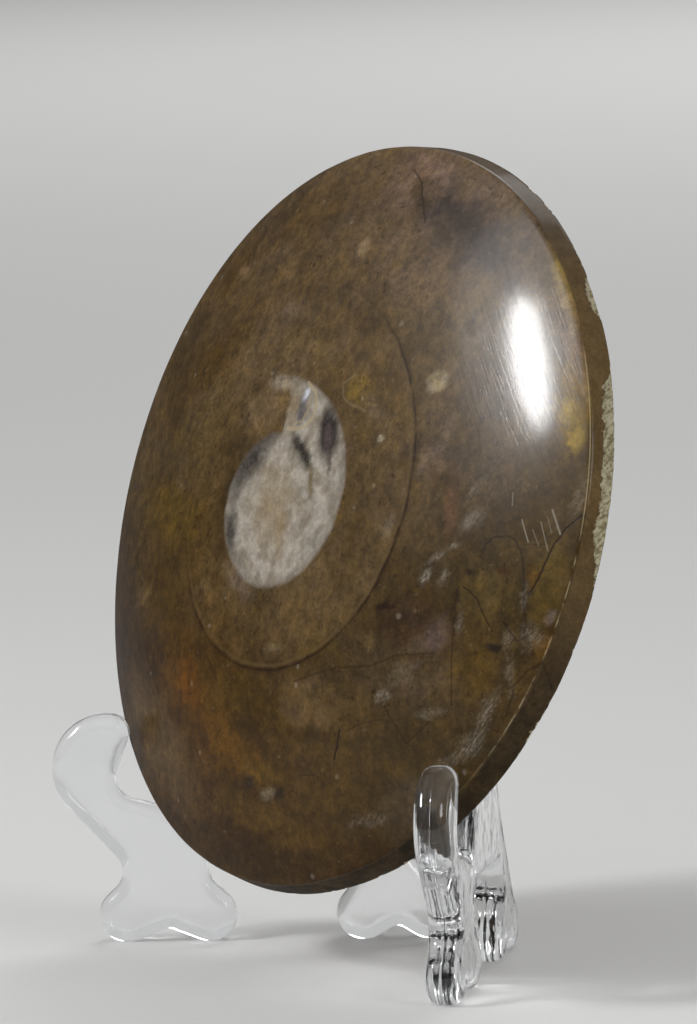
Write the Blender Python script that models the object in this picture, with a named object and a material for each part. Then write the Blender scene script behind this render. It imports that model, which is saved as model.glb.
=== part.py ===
"""Polished ammonite fossil slice leaning on a small clear easel.

The slice is one lens-shaped piece of stone: a domed polished front, a narrow ground rim
and a flat sawn back.  It leans back on a push-together easel of three clear pieces: two
scrolled legs that open in a V towards the viewer, and a cross bar that slots into them
behind the stone.  Units are metres, +Z is up and the slice faces -Y.
"""

import math

import bmesh
import bpy
from mathutils import Vector

MM = 0.001

# ---------------------------------------------------------------- driving dimensions
FIT_GAP = 0.3 * MM                 # air left wherever two pieces touch

# Fossil slice.
RIDGE_RADIUS = 48.5 * MM           # from the centre to the edge between front and rim
DOME_HEIGHT = 8.0 * MM             # how far the polished front stands out of that edge
DOME_POWER = 2.5                   # 2 is a parabola, more is flatter with a rounder shoulder
RIM_DEPTH = 3.6 * MM               # from the edge back to the sawn face
RIM_FLARE = 0.7 * MM               # how much wider the rim is at the back than at the front
RIM_BEVEL = 0.45 * MM              # broken edge round the sawn face
SLICE_SEGMENTS = 96
DOME_RINGS = 11
# Departures from a circle: (lobes round the edge, size as a part of the radius, phase in degrees).
SLICE_LUMPS = ((2, 0.0056, 110.0), (3, 0.0079, -8.0), (4, 0.0025, -110.0))
LEAN = math.radians(16.0)          # how far the slice leans back
TURN = math.radians(-0.7)          # how far it is turned from square with the easel
SLICE_CENTRE = Vector((0.0, 12.45, 58.05)) * MM

# Easel legs.
LEG_THICKNESS = 4.6 * MM
LEG_EDGE_RADIUS = 1.8 * MM         # the moulded round along both edges of a leg
LEG_EDGE_STEPS = 4
LEG_HALF_SPREAD = 34.8 * MM        # front foot, sideways from the middle
LEG_V_ANGLE = math.radians(41.7)   # from straight back to the line of a leg
ARC_STEP = math.radians(20.0)
FOOT_RADIUS = 3.6                  # in the leg profile's millimetres
FOOT_HEIGHT = 3.35                 # centre of a foot over the table: a little under the radius

# Side profile of a leg, as circles that a closed line wraps around in turn.
# Each is (back, up, radius, side): side +1 is a circle of material, -1 a hollow.
LEG_PROFILE_MM = (
    (-0.25, 27.75, 2.45, 1),                    # tip of the hook
    (-0.8, 22.9, 7.3, 1),                       # outer bow of the hook
    (-2.1, 9.25, 3.0, -1),                      # front neck
    (1.3, FOOT_HEIGHT, FOOT_RADIUS, 1),
    (6.9, 0.0, 1.5, -1),                        # nick between the two front feet
    (12.3, FOOT_HEIGHT, FOOT_RADIUS, 1),
    (15.8, 9.7, 3.5, -1),                       # arch under the leg, front end
    (28.6, 9.5, 3.5, -1),                       # arch under the leg, rear end
    (32.8, FOOT_HEIGHT, FOOT_RADIUS, 1),
    (37.2, 0.0, 1.5, -1),                       # nick between the two rear feet
    (41.5, FOOT_HEIGHT, FOOT_RADIUS, 1),
    (44.0, 10.7, 3.6, -1),                      # rear neck
    (54.5, 32.5, 25.0, -1),                     # slack bow up the back of the post
    (20.4, 42.5, 2.6, 1),                       # top of the post
    (8.2, 19.0, 1.5, -1),                       # corner where the slice stands
    (3.3, 21.8, 3.0, -1),                       # inside of the hook
)

# Cross bar.
BAR_BACK = 18.0 * MM               # its middle plane, from the front feet
BAR_THICKNESS = 3.0 * MM
BAR_HALF_LENGTH = 21.6 * MM
BAR_BOTTOM = 23.6 * MM
BAR_TOP = 35.0 * MM
BAR_CORNER = 2.2 * MM
BAR_BEVEL = 0.5 * MM
HALVING_HEIGHT = 27.2 * MM         # where the bar's notches meet the legs' slots
CUTTER_REACH = 30.0 * MM

# ---------------------------------------------------------------- scene and materials


def clear_scene():
    """Remove whatever the file opened with."""
    for item in list(bpy.data.objects):
        bpy.data.objects.remove(item, do_unlink=True)


def make_material(name, colour, roughness, metallic=0.0, transmission=0.0, ior=1.45):
    """Return a Principled material with plain values."""
    material = bpy.data.materials.new(name)
    material.use_nodes = True
    shader = material.node_tree.nodes["Principled BSDF"]
    shader.inputs["Base Color"].default_value = (*colour, 1.0)
    shader.inputs["Roughness"].default_value = roughness
    shader.inputs["Metallic"].default_value = metallic
    shader.inputs["Transmission Weight"].default_value = transmission
    shader.inputs["IOR"].default_value = ior
    material.diffuse_color = (*colour, 1.0)
    return material


def add_object(name, bm, material):
    """Turn a bmesh into a smooth-shaded object of the scene."""
    bmesh.ops.recalc_face_normals(bm, faces=bm.faces)
    mesh = bpy.data.meshes.new(name)
    bm.to_mesh(mesh)
    bm.free()
    mesh.shade_smooth()
    mesh.set_sharp_from_angle(angle=math.radians(40.0))
    mesh.materials.append(material)
    item = bpy.data.objects.new(name, mesh)
    bpy.context.scene.collection.objects.link(item)
    return item


def bridge_closed_loops(bm, loops):
    """Join a run of vertex loops of equal length with quads."""
    for near, far in zip(loops, loops[1:]):
        count = len(near)
        for index in range(count):
            after = (index + 1) % count
            bm.faces.new((near[index], near[after], far[after], far[index]))


# ---------------------------------------------------------------- fossil slice


def slice_outline(angle):
    """Edge radius at an angle, as a part of the mean radius."""
    lumps = (size * math.cos(lobes * angle - math.radians(phase)) for lobes, size, phase in SLICE_LUMPS)
    return 1.0 + sum(lumps)


def slice_ring(bm, share, depth, widen=0.0):
    """Add one ring of vertices at a share of the edge radius, in the slice's own axes."""
    ring = []
    for step in range(SLICE_SEGMENTS):
        angle = 2.0 * math.pi * step / SLICE_SEGMENTS
        radius = RIDGE_RADIUS * slice_outline(angle) * share + widen
        ring.append(bm.verts.new((radius * math.cos(angle), depth, radius * math.sin(angle))))
    return ring


def make_slice(material):
    """The fossil: domed front, ground rim, flat back."""
    bm = bmesh.new()
    rings = []
    for step in range(1, DOME_RINGS + 1):
        share = math.sin(0.5 * math.pi * step / DOME_RINGS)
        rings.append(slice_ring(bm, share, -DOME_HEIGHT * (1.0 - share ** DOME_POWER)))
    rings.append(slice_ring(bm, 1.0, RIM_DEPTH - RIM_BEVEL, RIM_FLARE))
    rings.append(slice_ring(bm, 1.0, RIM_DEPTH, RIM_FLARE - RIM_BEVEL))
    bridge_closed_loops(bm, rings)
    front = bm.verts.new((0.0, -DOME_HEIGHT, 0.0))
    for index in range(SLICE_SEGMENTS):
        bm.faces.new((front, rings[0][(index + 1) % SLICE_SEGMENTS], rings[0][index]))
    bm.faces.new(rings[-1])
    item = add_object("ammonite_slice", bm, material)
    item.location = SLICE_CENTRE
    item.rotation_euler = (-LEAN, 0.0, TURN)
    return item


# ---------------------------------------------------------------- easel legs


def touching_line(circle, following):
    """Angle of the left-hand normal of the line that leaves one circle and meets the next."""
    back, up, radius, side = circle
    back_2, up_2, radius_2, side_2 = following
    distance = math.hypot(back_2 - back, up_2 - up)
    heading = math.atan2(up_2 - up, back_2 - back)
    return heading + math.acos((side_2 * radius_2 - side * radius) / distance)


def wrap_profile(circles):
    """Walk the closed line round the circles; return (back, up, normal angle) in millimetres.

    The material lies on the walker's left, so the outward normal points right.
    """
    points = []
    for index, circle in enumerate(circles):
        back, up, radius, side = circle
        arrive = touching_line(circles[index - 1], circle) + math.pi
        leave = touching_line(circle, circles[(index + 1) % len(circles)]) + math.pi
        sweep = (leave - arrive) * side % (2.0 * math.pi) * side
        steps = max(1, math.ceil(abs(sweep) / ARC_STEP))
        for step in range(steps + 1):
            normal = arrive + sweep * step / steps
            at_back = back + side * radius * math.cos(normal)
            at_up = up + side * radius * math.sin(normal)
            points.append((at_back, at_up, normal))
    return points


def flatten_feet(bm):
    """Cut off what reaches below the table and close the cuts with flat faces."""
    everything = bm.verts[:] + bm.edges[:] + bm.faces[:]
    bmesh.ops.bisect_plane(bm, geom=everything, plane_co=(0, 0, 0), plane_no=(0, 0, 1), clear_inner=True)
    open_edges = [edge for edge in bm.edges if edge.is_boundary]
    bmesh.ops.holes_fill(bm, edges=open_edges)


def leg_mesh():
    """One leg standing in the YZ plane, thick along X, front foot at the origin."""
    bm = bmesh.new()
    profile = wrap_profile(LEG_PROFILE_MM)
    flat_half = 0.5 * LEG_THICKNESS - LEG_EDGE_RADIUS
    loops = []
    for turn in range(-LEG_EDGE_STEPS, LEG_EDGE_STEPS + 1):
        angle = 0.5 * math.pi * turn / LEG_EDGE_STEPS
        inset = LEG_EDGE_RADIUS * (1.0 - math.cos(angle))
        sides = (-flat_half, flat_half) if turn == 0 else (math.copysign(flat_half, turn),)
        for side in sides:
            across = side + LEG_EDGE_RADIUS * math.sin(angle)
            loop = []
            for back, up, normal in profile:
                loop.append(bm.verts.new((
                    across,
                    back * MM - inset * math.cos(normal),
                    up * MM - inset * math.sin(normal),
                )))
            loops.append(loop)
    bridge_closed_loops(bm, loops)
    bm.faces.new(loops[0])
    bm.faces.new(loops[-1])
    flatten_feet(bm)
    return bm


def make_leg(name, side, material):
    """A leg on one side (+1 right, -1 left), swung in towards the back, slotted for the bar."""
    item = add_object(name, leg_mesh(), material)
    item.location = (side * LEG_HALF_SPREAD, 0.0, 0.0)
    item.rotation_euler.z = side * LEG_V_ANGLE
    slot_height = BAR_TOP - HALVING_HEIGHT + CUTTER_REACH
    slot = make_cutter(
        f"{name}_slot",
        (2.0 * CUTTER_REACH, BAR_THICKNESS + 2.0 * FIT_GAP, slot_height),
        (side * leg_offset_at_bar(), BAR_BACK, HALVING_HEIGHT - 0.5 * FIT_GAP + 0.5 * slot_height),
        0.0,
    )
    cut(item, slot)
    return item


def leg_offset_at_bar():
    """How far from the middle a leg's centre plane crosses the bar."""
    return LEG_HALF_SPREAD - BAR_BACK * math.tan(LEG_V_ANGLE)


# ---------------------------------------------------------------- cutters and cross bar


def make_cutter(name, size, centre, turn):
    """A hidden box for a Boolean cut, turned about the vertical."""
    bm = bmesh.new()
    bmesh.ops.create_cube(bm, size=1.0)
    bmesh.ops.scale(bm, verts=bm.verts, vec=size)
    mesh = bpy.data.meshes.new(name)
    bm.to_mesh(mesh)
    bm.free()
    item = bpy.data.objects.new(name, mesh)
    bpy.context.scene.collection.objects.link(item)
    item.location = centre
    item.rotation_euler.z = turn
    item.hide_render = True
    item.display_type = "WIRE"
    return item


def cut(item, cutter):
    """Take a cutter out of an object."""
    modifier = item.modifiers.new(cutter.name, "BOOLEAN")
    modifier.operation = "DIFFERENCE"
    modifier.solver = "EXACT"
    modifier.object = cutter


def make_cross_bar(material):
    """The bar that ties the legs: a plate with rounded ends and a notch over each leg."""
    bm = bmesh.new()
    bmesh.ops.create_cube(bm, size=1.0)
    size = (2.0 * BAR_HALF_LENGTH, BAR_THICKNESS, BAR_TOP - BAR_BOTTOM)
    bmesh.ops.scale(bm, verts=bm.verts, vec=size)
    corners = [
        edge for edge in bm.edges
        if abs(edge.verts[0].co.y - edge.verts[1].co.y) > 0.5 * BAR_THICKNESS
    ]
    bmesh.ops.bevel(bm, geom=corners, offset=BAR_CORNER, segments=5, profile=0.5, affect="EDGES")
    faces = [face for face in bm.faces if abs(face.normal.y) > 0.5]
    outline = {edge for face in faces for edge in face.edges}
    bmesh.ops.bevel(bm, geom=list(outline), offset=BAR_BEVEL, segments=2, profile=0.5, affect="EDGES")
    item = add_object("easel_cross_bar", bm, material)
    item.location = (0.0, BAR_BACK, 0.5 * (BAR_TOP + BAR_BOTTOM))
    notch_height = HALVING_HEIGHT - BAR_BOTTOM + CUTTER_REACH
    for label, side in (("left", -1), ("right", 1)):
        notch = make_cutter(
            f"cross_bar_notch_{label}",
            (LEG_THICKNESS + 2.0 * FIT_GAP, CUTTER_REACH, notch_height),
            (side * leg_offset_at_bar(), BAR_BACK, HALVING_HEIGHT + 0.5 * FIT_GAP - 0.5 * notch_height),
            side * LEG_V_ANGLE,
        )
        cut(item, notch)
    return item


# ---------------------------------------------------------------- assembly


def centre_on_table(pieces):
    """Hang every object on one empty and put the pieces' bounding box over the origin."""
    bpy.context.view_layer.update()
    corners = [piece.matrix_world @ vertex.co for piece in pieces for vertex in piece.data.vertices]
    low = [min(corner[axis] for corner in corners) for axis in range(3)]
    high = [max(corner[axis] for corner in corners) for axis in range(3)]
    display = bpy.data.objects.new("display", None)
    for item in list(bpy.context.scene.collection.objects):
        item.parent = display
    bpy.context.scene.collection.objects.link(display)
    display.location = (-0.5 * (low[0] + high[0]), -0.5 * (low[1] + high[1]), -low[2])


def build():
    """Make the whole display."""
    clear_scene()
    stone = make_material("fossil_stone", (0.115, 0.068, 0.030), 0.22)
    acrylic = make_material("clear_acrylic", (0.93, 0.95, 0.96), 0.06, transmission=1.0, ior=1.49)
    pieces = [
        make_slice(stone),
        make_leg("easel_leg_left", -1, acrylic),
        make_leg("easel_leg_right", 1, acrylic),
        make_cross_bar(acrylic),
    ]
    centre_on_table(pieces)


build()
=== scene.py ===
"""Ammonite fossil slice on a clear moulded easel: the dressed model.

The stone is one polished, domed slice.  The easel is two clear scrolled legs and a cross
bar that ties them behind the stone.  Meshes are in metres.  Patterns on the stone are in
millimetres on its own face: U to the right, V up the face, depth back from the ridge that
runs round the polished front.
"""

import logging
import math
from dataclasses import dataclass, field
from enum import Enum

import bmesh
import bpy
from bpy.types import Material, Mesh, Node, NodeSocket as Socket, NodeTree as Tree, Object
from mathutils import Euler, Matrix, Vector


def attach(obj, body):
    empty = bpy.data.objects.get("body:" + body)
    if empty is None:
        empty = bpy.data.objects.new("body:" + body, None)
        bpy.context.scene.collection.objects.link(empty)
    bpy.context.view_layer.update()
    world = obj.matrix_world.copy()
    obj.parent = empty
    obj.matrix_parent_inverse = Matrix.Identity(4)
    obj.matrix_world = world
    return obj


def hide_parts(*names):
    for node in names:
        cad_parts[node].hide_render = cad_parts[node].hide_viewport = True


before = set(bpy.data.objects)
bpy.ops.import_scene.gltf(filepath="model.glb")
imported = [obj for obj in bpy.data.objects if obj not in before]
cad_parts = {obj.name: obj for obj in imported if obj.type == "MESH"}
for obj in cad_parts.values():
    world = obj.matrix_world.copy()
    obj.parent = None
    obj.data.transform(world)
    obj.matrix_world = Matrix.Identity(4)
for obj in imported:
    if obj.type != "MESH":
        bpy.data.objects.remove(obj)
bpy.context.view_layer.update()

LOG = logging.getLogger("ammonite")
MM = 0.001
TABLE_SHIFT = Vector((-0.4164, -13.813, 0.0)) * MM   # puts the footprint's middle over the origin
FACE_MIDDLE = Vector((0.0, 12.45, 58.05)) * MM       # slice centre, before that shift
LEAN = math.radians(16.0)
TURN = math.radians(-0.7)
STONE_GAIN = 1.12                # how much darker the studio light shows the stone's own colour
STONE_VEIL = 0.012               # the light that the polish adds to it
CUTTER_LENGTH = 40.0 * MM        # longer than any slot or notch is deep
SHARP_EDGE = math.radians(32.0)
FLOOR_RADIUS = 6.0

Triple = tuple[float, float, float]
Rgb = Triple
Screen = tuple[int, int, int]
Point = tuple[float, float]
Feed = float | tuple | Socket


def tone(red: int, green: int, blue: int) -> Rgb:
    """Turn a colour as a screen shows it into the light values that shaders use.

    Args:
        red: Red from 0 to 255.
        green: Green from 0 to 255.
        blue: Blue from 0 to 255.

    Returns:
        Linear red, green and blue.
    """
    def linear(value: float) -> float:
        """Undo the screen's curve for one value."""
        return value / 12.92 if value <= 0.04045 else ((value + 0.055) / 1.055) ** 2.4

    return tuple(linear(part / 255.0) for part in (red, green, blue))


def face_place() -> Matrix:
    """Return the matrix from the face's own axes, in metres, to the table."""
    turned = Euler((-LEAN, 0.0, TURN)).to_matrix().to_4x4()
    return Matrix.Translation(FACE_MIDDLE + TABLE_SHIFT) @ turned


# ---------------------------------------------------------------- node trees


class NodeSheet:
    """Short calls for adding and wiring the nodes of one tree."""

    def __init__(self, tree: Tree) -> None:
        """Keep the tree and empty it."""
        self.tree = tree
        tree.nodes.clear()

    def node(self, kind: str, **settings: object) -> Node:
        """Add a node.

        Args:
            kind: Blender's name for the node type.
            **settings: Properties to set on it.

        Returns:
            The new node.
        """
        made = self.tree.nodes.new(kind)
        for name, value in settings.items():
            setattr(made, name, value)
        return made

    def feed(self, socket: Socket, value: Feed) -> None:
        """Link a socket into an input, or set the input to a plain value."""
        if isinstance(value, Socket):
            self.tree.links.new(value, socket)
        else:
            socket.default_value = value

    def math(self, operation: str, *values: Feed) -> Socket:
        """Do one sum.

        Args:
            operation: The Math node's operation.
            *values: Its inputs in order.

        Returns:
            The result.
        """
        made = self.node("ShaderNodeMath", operation=operation)
        for socket, value in zip(made.inputs, values):
            self.feed(socket, value)
        return made.outputs[0]

    def times(self, first: Feed, second: Feed) -> Socket:
        """Multiply two numbers."""
        return self.math("MULTIPLY", first, second)

    def times_plus(self, first: Feed, second: Feed, third: Feed) -> Socket:
        """Multiply two numbers and add a third."""
        return self.math("MULTIPLY_ADD", first, second, third)

    def plus(self, first: Feed, second: Feed) -> Socket:
        """Add two numbers."""
        return self.math("ADD", first, second)

    def minus(self, first: Feed, second: Feed) -> Socket:
        """Take the second number from the first."""
        return self.math("SUBTRACT", first, second)

    def over(self, first: Feed, second: Feed) -> Socket:
        """Divide the first number by the second."""
        return self.math("DIVIDE", first, second)

    def larger(self, first: Feed, second: Feed) -> Socket:
        """Take the larger of two numbers."""
        return self.math("MAXIMUM", first, second)

    def held(self, value: Feed) -> Socket:
        """Hold a number between 0 and 1."""
        return self.larger(self.math("MINIMUM", value, 1.0), 0.0)

    def vector(self, operation: str, *values: Feed) -> Socket:
        """Do one vector sum.

        Args:
            operation: The Vector Math node's operation.
            *values: Its inputs in order; the last is the factor of SCALE.

        Returns:
            A vector, or a number for LENGTH and DOT_PRODUCT.
        """
        made = self.node("ShaderNodeVectorMath", operation=operation)
        sockets = [made.inputs[0], made.inputs["Scale"]] if operation == "SCALE" else made.inputs
        for socket, value in zip(sockets, values):
            self.feed(socket, value)
        return made.outputs["Value" if operation in {"LENGTH", "DOT_PRODUCT"} else "Vector"]

    def scale(self, vector: Feed, factor: Feed) -> Socket:
        """Scale a vector or a colour by one number."""
        return self.vector("SCALE", vector, factor)

    def shift(self, first: Feed, second: Feed) -> Socket:
        """Add two vectors."""
        return self.vector("ADD", first, second)

    def away(self, first: Feed, second: Feed) -> Socket:
        """Take the second vector from the first."""
        return self.vector("SUBTRACT", first, second)

    def combine(self, x: Feed, y: Feed, z: Feed) -> Socket:
        """Make a vector of three numbers."""
        made = self.node("ShaderNodeCombineXYZ")
        for socket, value in zip(made.inputs, (x, y, z)):
            self.feed(socket, value)
        return made.outputs[0]

    def split(self, vector: Feed) -> list[Socket]:
        """Take a vector apart into x, y and z."""
        made = self.node("ShaderNodeSeparateXYZ")
        self.feed(made.inputs[0], vector)
        return list(made.outputs)

    def ramp(self, value: Feed, start: Feed, end: Feed, low: Feed = 0.0, high: Feed = 1.0) -> Socket:
        """Ease a value from low to high while it goes from start to end.

        Args:
            value: What is eased.
            start: Where the ease starts; it may lie above the end.
            end: Where the ease is over.
            low: The result at the start.
            high: The result at the end.

        Returns:
            The eased value.
        """
        made = self.node("ShaderNodeMapRange", interpolation_type="SMOOTHSTEP")
        for socket, part in zip(made.inputs, (value, start, end, low, high)):
            self.feed(socket, part)
        return made.outputs[0]

    def noise(self, position: Feed, scale: float, detail: float = 3.0, rough: float = 0.55,
              seed: Feed = 0.0, colour: bool = False) -> Socket:
        """Add a noise texture.

        Args:
            position: Where it is read.
            scale: Lumps in one unit of the position.
            detail: Octaves.
            rough: How strong the finer octaves are.
            seed: A fixed number that picks the pattern.
            colour: Whether three patterns are wanted instead of one.

        Returns:
            The noise, from 0 to 1.
        """
        moved = self.shift(position, self.combine(self.times(seed, 31.7), 5.3, self.times(seed, 12.9)))
        made = self.node("ShaderNodeTexNoise", noise_dimensions="3D")
        for name, value in (("Vector", moved), ("Scale", scale), ("Detail", detail), ("Roughness", rough)):
            self.feed(made.inputs[name], value)
        return made.outputs["Color" if colour else 0]

    def mix(self, share: Feed, first: Feed, second: Feed) -> Socket:
        """Mix two colours.

        Args:
            share: How much of the second colour, 0 to 1.
            first: The colour underneath.
            second: The colour on top.

        Returns:
            The mixed colour.
        """
        made = self.node("ShaderNodeMix", data_type="RGBA")
        for socket, value in ((made.inputs[0], share), (made.inputs[6], first), (made.inputs[7], second)):
            self.feed(socket, (*value, 1.0) if isinstance(value, tuple) and len(value) == 3 else value)
        return made.outputs[2]

    def turned(self, vector: Feed, angle: float) -> Socket:
        """Turn a vector about the face's depth."""
        made = self.node("ShaderNodeVectorRotate", rotation_type="Y_AXIS")
        self.feed(made.inputs["Vector"], vector)
        made.inputs["Angle"].default_value = angle
        return made.outputs[0]

    def bump(self, height: Feed) -> Socket:
        """Raise the surface by a height, given in tenths of a millimetre, and return its normal."""
        made = self.node("ShaderNodeBump")
        made.inputs["Strength"].default_value = 1.0
        made.inputs["Distance"].default_value = 0.1 * MM
        self.feed(made.inputs["Height"], height)
        return made.outputs[0]

    def grid(self, size: float, columns: int, rows: int) -> Socket:
        """Lay a flat square grid of faces about the origin."""
        made = self.node("GeometryNodeMeshGrid")
        for axis, count in (("X", columns + 1), ("Y", rows + 1)):
            made.inputs[f"Size {axis}"].default_value = size
            made.inputs[f"Vertices {axis}"].default_value = count
        return made.outputs["Mesh"]

    def group(self, tree: Tree, **values: Feed) -> Node:
        """Place a node group.

        Args:
            tree: The group.
            **values: Its inputs by name, with underscores for spaces.

        Returns:
            The group node.
        """
        kind = "ShaderNodeGroup" if tree.bl_idname == "ShaderNodeTree" else "GeometryNodeGroup"
        made = self.node(kind, node_tree=tree)
        for name, value in values.items():
            self.feed(made.inputs[name.replace("_", " ").title()], value)
        return made


def new_group(name: str, takes: dict[str, Feed], gives: str,
              family: str = "ShaderNodeTree") -> tuple[NodeSheet, dict, Socket]:
    """Start a node group that gives one number.

    Args:
        name: The group's name.
        takes: Its inputs and the value that each starts at: a number or a vector.
        gives: The name of its output.
        family: Blender's name for the kind of tree.

    Returns:
        The sheet to work on, the inputs by name, and the socket for the result.
    """
    tree = bpy.data.node_groups.new(name, family)
    for label, start in takes.items():
        kind = "NodeSocketVector" if isinstance(start, tuple) else "NodeSocketFloat"
        tree.interface.new_socket(label, in_out="INPUT", socket_type=kind).default_value = start
    tree.interface.new_socket(gives, in_out="OUTPUT", socket_type="NodeSocketFloat")
    sheet = NodeSheet(tree)
    source = sheet.node("NodeGroupInput")
    out = sheet.node("NodeGroupOutput")
    return sheet, {label: source.outputs[label] for label in takes}, out.inputs[gives]


@dataclass
class Effects:
    """The shader node groups that the finishes share."""

    reach: Tree = field(init=False)
    scratches: Tree = field(init=False)
    grit: Tree = field(init=False)

    def __post_init__(self) -> None:
        """Build each group once."""
        self.reach = self.build_reach()
        self.scratches = self.build_scratches()
        self.grit = self.build_grit()

    def scratched(
        self, sheet: NodeSheet, position: Feed, stretch: Triple, seed: float, cover: float
    ) -> Socket:
        """Place fine scratches: how fine they are each way, which pattern, and how many."""
        values = {"position": position, "stretch": stretch, "seed": seed, "cover": cover}
        return sheet.group(self.scratches, **values).outputs[0]

    def gritty(self, sheet: NodeSheet, position: Feed, density: float, cover: float, speck: float) -> Socket:
        """Place loose specks: cells to a unit, the share of cells that have one, and their size."""
        values = {"position": position, "density": density, "cover": cover, "speck": speck}
        return sheet.group(self.grit, **values).outputs[0]

    def build_reach(self) -> Tree:
        """Make the distance from one straight stretch of a drawn line.

        Returns:
            A group that gives the distance across the face.
        """
        sheet, takes, result = new_group(
            "line_reach", {"Position": (0, 0, 0), "Start": (0, 0, 0), "End": (1, 0, 0)}, "Distance",
        )
        flat = sheet.vector("MULTIPLY", takes["Position"], (1.0, 0.0, 1.0))
        along = sheet.away(takes["End"], takes["Start"])
        away = sheet.away(flat, takes["Start"])
        reached = sheet.vector("DOT_PRODUCT", away, along)
        share = sheet.held(sheet.over(reached, sheet.vector("DOT_PRODUCT", along, along)))
        nearest = sheet.scale(along, share)
        sheet.feed(result, sheet.vector("LENGTH", sheet.away(away, nearest)))
        return sheet.tree

    def build_scratches(self) -> Tree:
        """Make fine scratches that run one way.

        Returns:
            A group that gives 1 in a scratch and 0 beside it.
        """
        sheet, takes, result = new_group(
            "fine_scratches",
            {"Position": (0, 0, 0), "Stretch": (4, 4, 0.2), "Seed": 0.0, "Cover": 0.3}, "Mask",
        )
        drawn = sheet.vector("MULTIPLY", takes["Position"], takes["Stretch"])
        raw = sheet.noise(drawn, 1.0, detail=2.0, rough=0.6, seed=takes["Seed"])
        start = sheet.minus(0.78, sheet.times(takes["Cover"], 0.35))
        end = sheet.plus(start, 0.08)
        sheet.feed(result, sheet.ramp(raw, start, end))
        return sheet.tree

    def build_grit(self) -> Tree:
        """Make loose specks, such as dust and pale grains.

        Returns:
            A group that gives 1 on a speck and 0 between them.
        """
        sheet, takes, result = new_group(
            "scattered_grit",
            {"Position": (0, 0, 0), "Density": 1.0, "Cover": 0.2, "Speck": 0.2}, "Mask",
        )
        cells = sheet.node("ShaderNodeTexVoronoi", feature="F1")
        sheet.feed(cells.inputs["Vector"], takes["Position"])
        sheet.feed(cells.inputs["Scale"], takes["Density"])
        picked = sheet.split(cells.outputs["Color"])
        chosen = sheet.math("LESS_THAN", picked[0], takes["Cover"])
        size = sheet.times(takes["Speck"], sheet.plus(picked[1], 0.4))
        speck = sheet.ramp(cells.outputs["Distance"], size, sheet.times(size, 0.45))
        sheet.feed(result, sheet.times(chosen, speck))
        return sheet.tree


# ---------------------------------------------------------------- what is in the stone


class Stray(Enum):
    """How far, in millimetres, the outline of a patch strays from an oval: slowly, and in small bites."""

    TIGHT = (0.4, 1.3)
    EVEN = (1.8, 1.7)
    LOOSE = (5.0, 2.2)

    @classmethod
    def places(cls, sheet: NodeSheet, place: Feed, wander: Feed, tremble: Feed) -> dict["Stray", Socket]:
        """Shift the face position once for each amount.

        Args:
            sheet: The slice's node tree.
            place: Face position in millimetres.
            wander: A slow vector noise about nought.
            tremble: A fine one.

        Returns:
            The shifted position for each amount.
        """
        shifted = {}
        for stray in cls:
            slow = sheet.shift(place, sheet.scale(wander, stray.value[0]))
            shifted[stray] = sheet.shift(slow, sheet.scale(tremble, stray.value[1]))
        return shifted


@dataclass(frozen=True)
class Patch:
    """A stain, a filling or a painted glint with a soft edge.

    Attributes:
        at: Centre on the face, in millimetres.
        half: Half its length and half its width, in millimetres.
        colour: Its colour as the screen should show it.
        turn: Degrees from U to its length, anticlockwise.
        strength: How far it covers, 0 to 1; above 1 a scuff is solid out to its edge.
        soft: Width of its edge as a part of its half size.
        stray: How far its outline strays.
    """

    at: Point
    half: Point
    colour: Screen
    turn: float
    strength: float
    soft: float
    stray: Stray = Stray.EVEN


@dataclass(frozen=True)
class Trace:
    """A thin line: a suture, a crack, a septum or a scratch.

    Attributes:
        points: The line's corners on the face, in millimetres.
        width: Its width in millimetres.
        colour: Its colour as the screen should show it.
        strength: How far it covers, 0 to 1.
        deep: Whether it is cut deep enough to be felt.
    """

    points: tuple[Point, ...]
    width: float
    colour: Screen
    strength: float
    deep: bool = False


TIGHT, LOOSE = Stray.TIGHT, Stray.LOOSE
CREAM = (170, 154, 124)
DARK_LINE = (42, 33, 22)
CHALK = (178, 170, 156)

# Broad tones of the face, darker along the bottom edge and towards the lower left.
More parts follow.
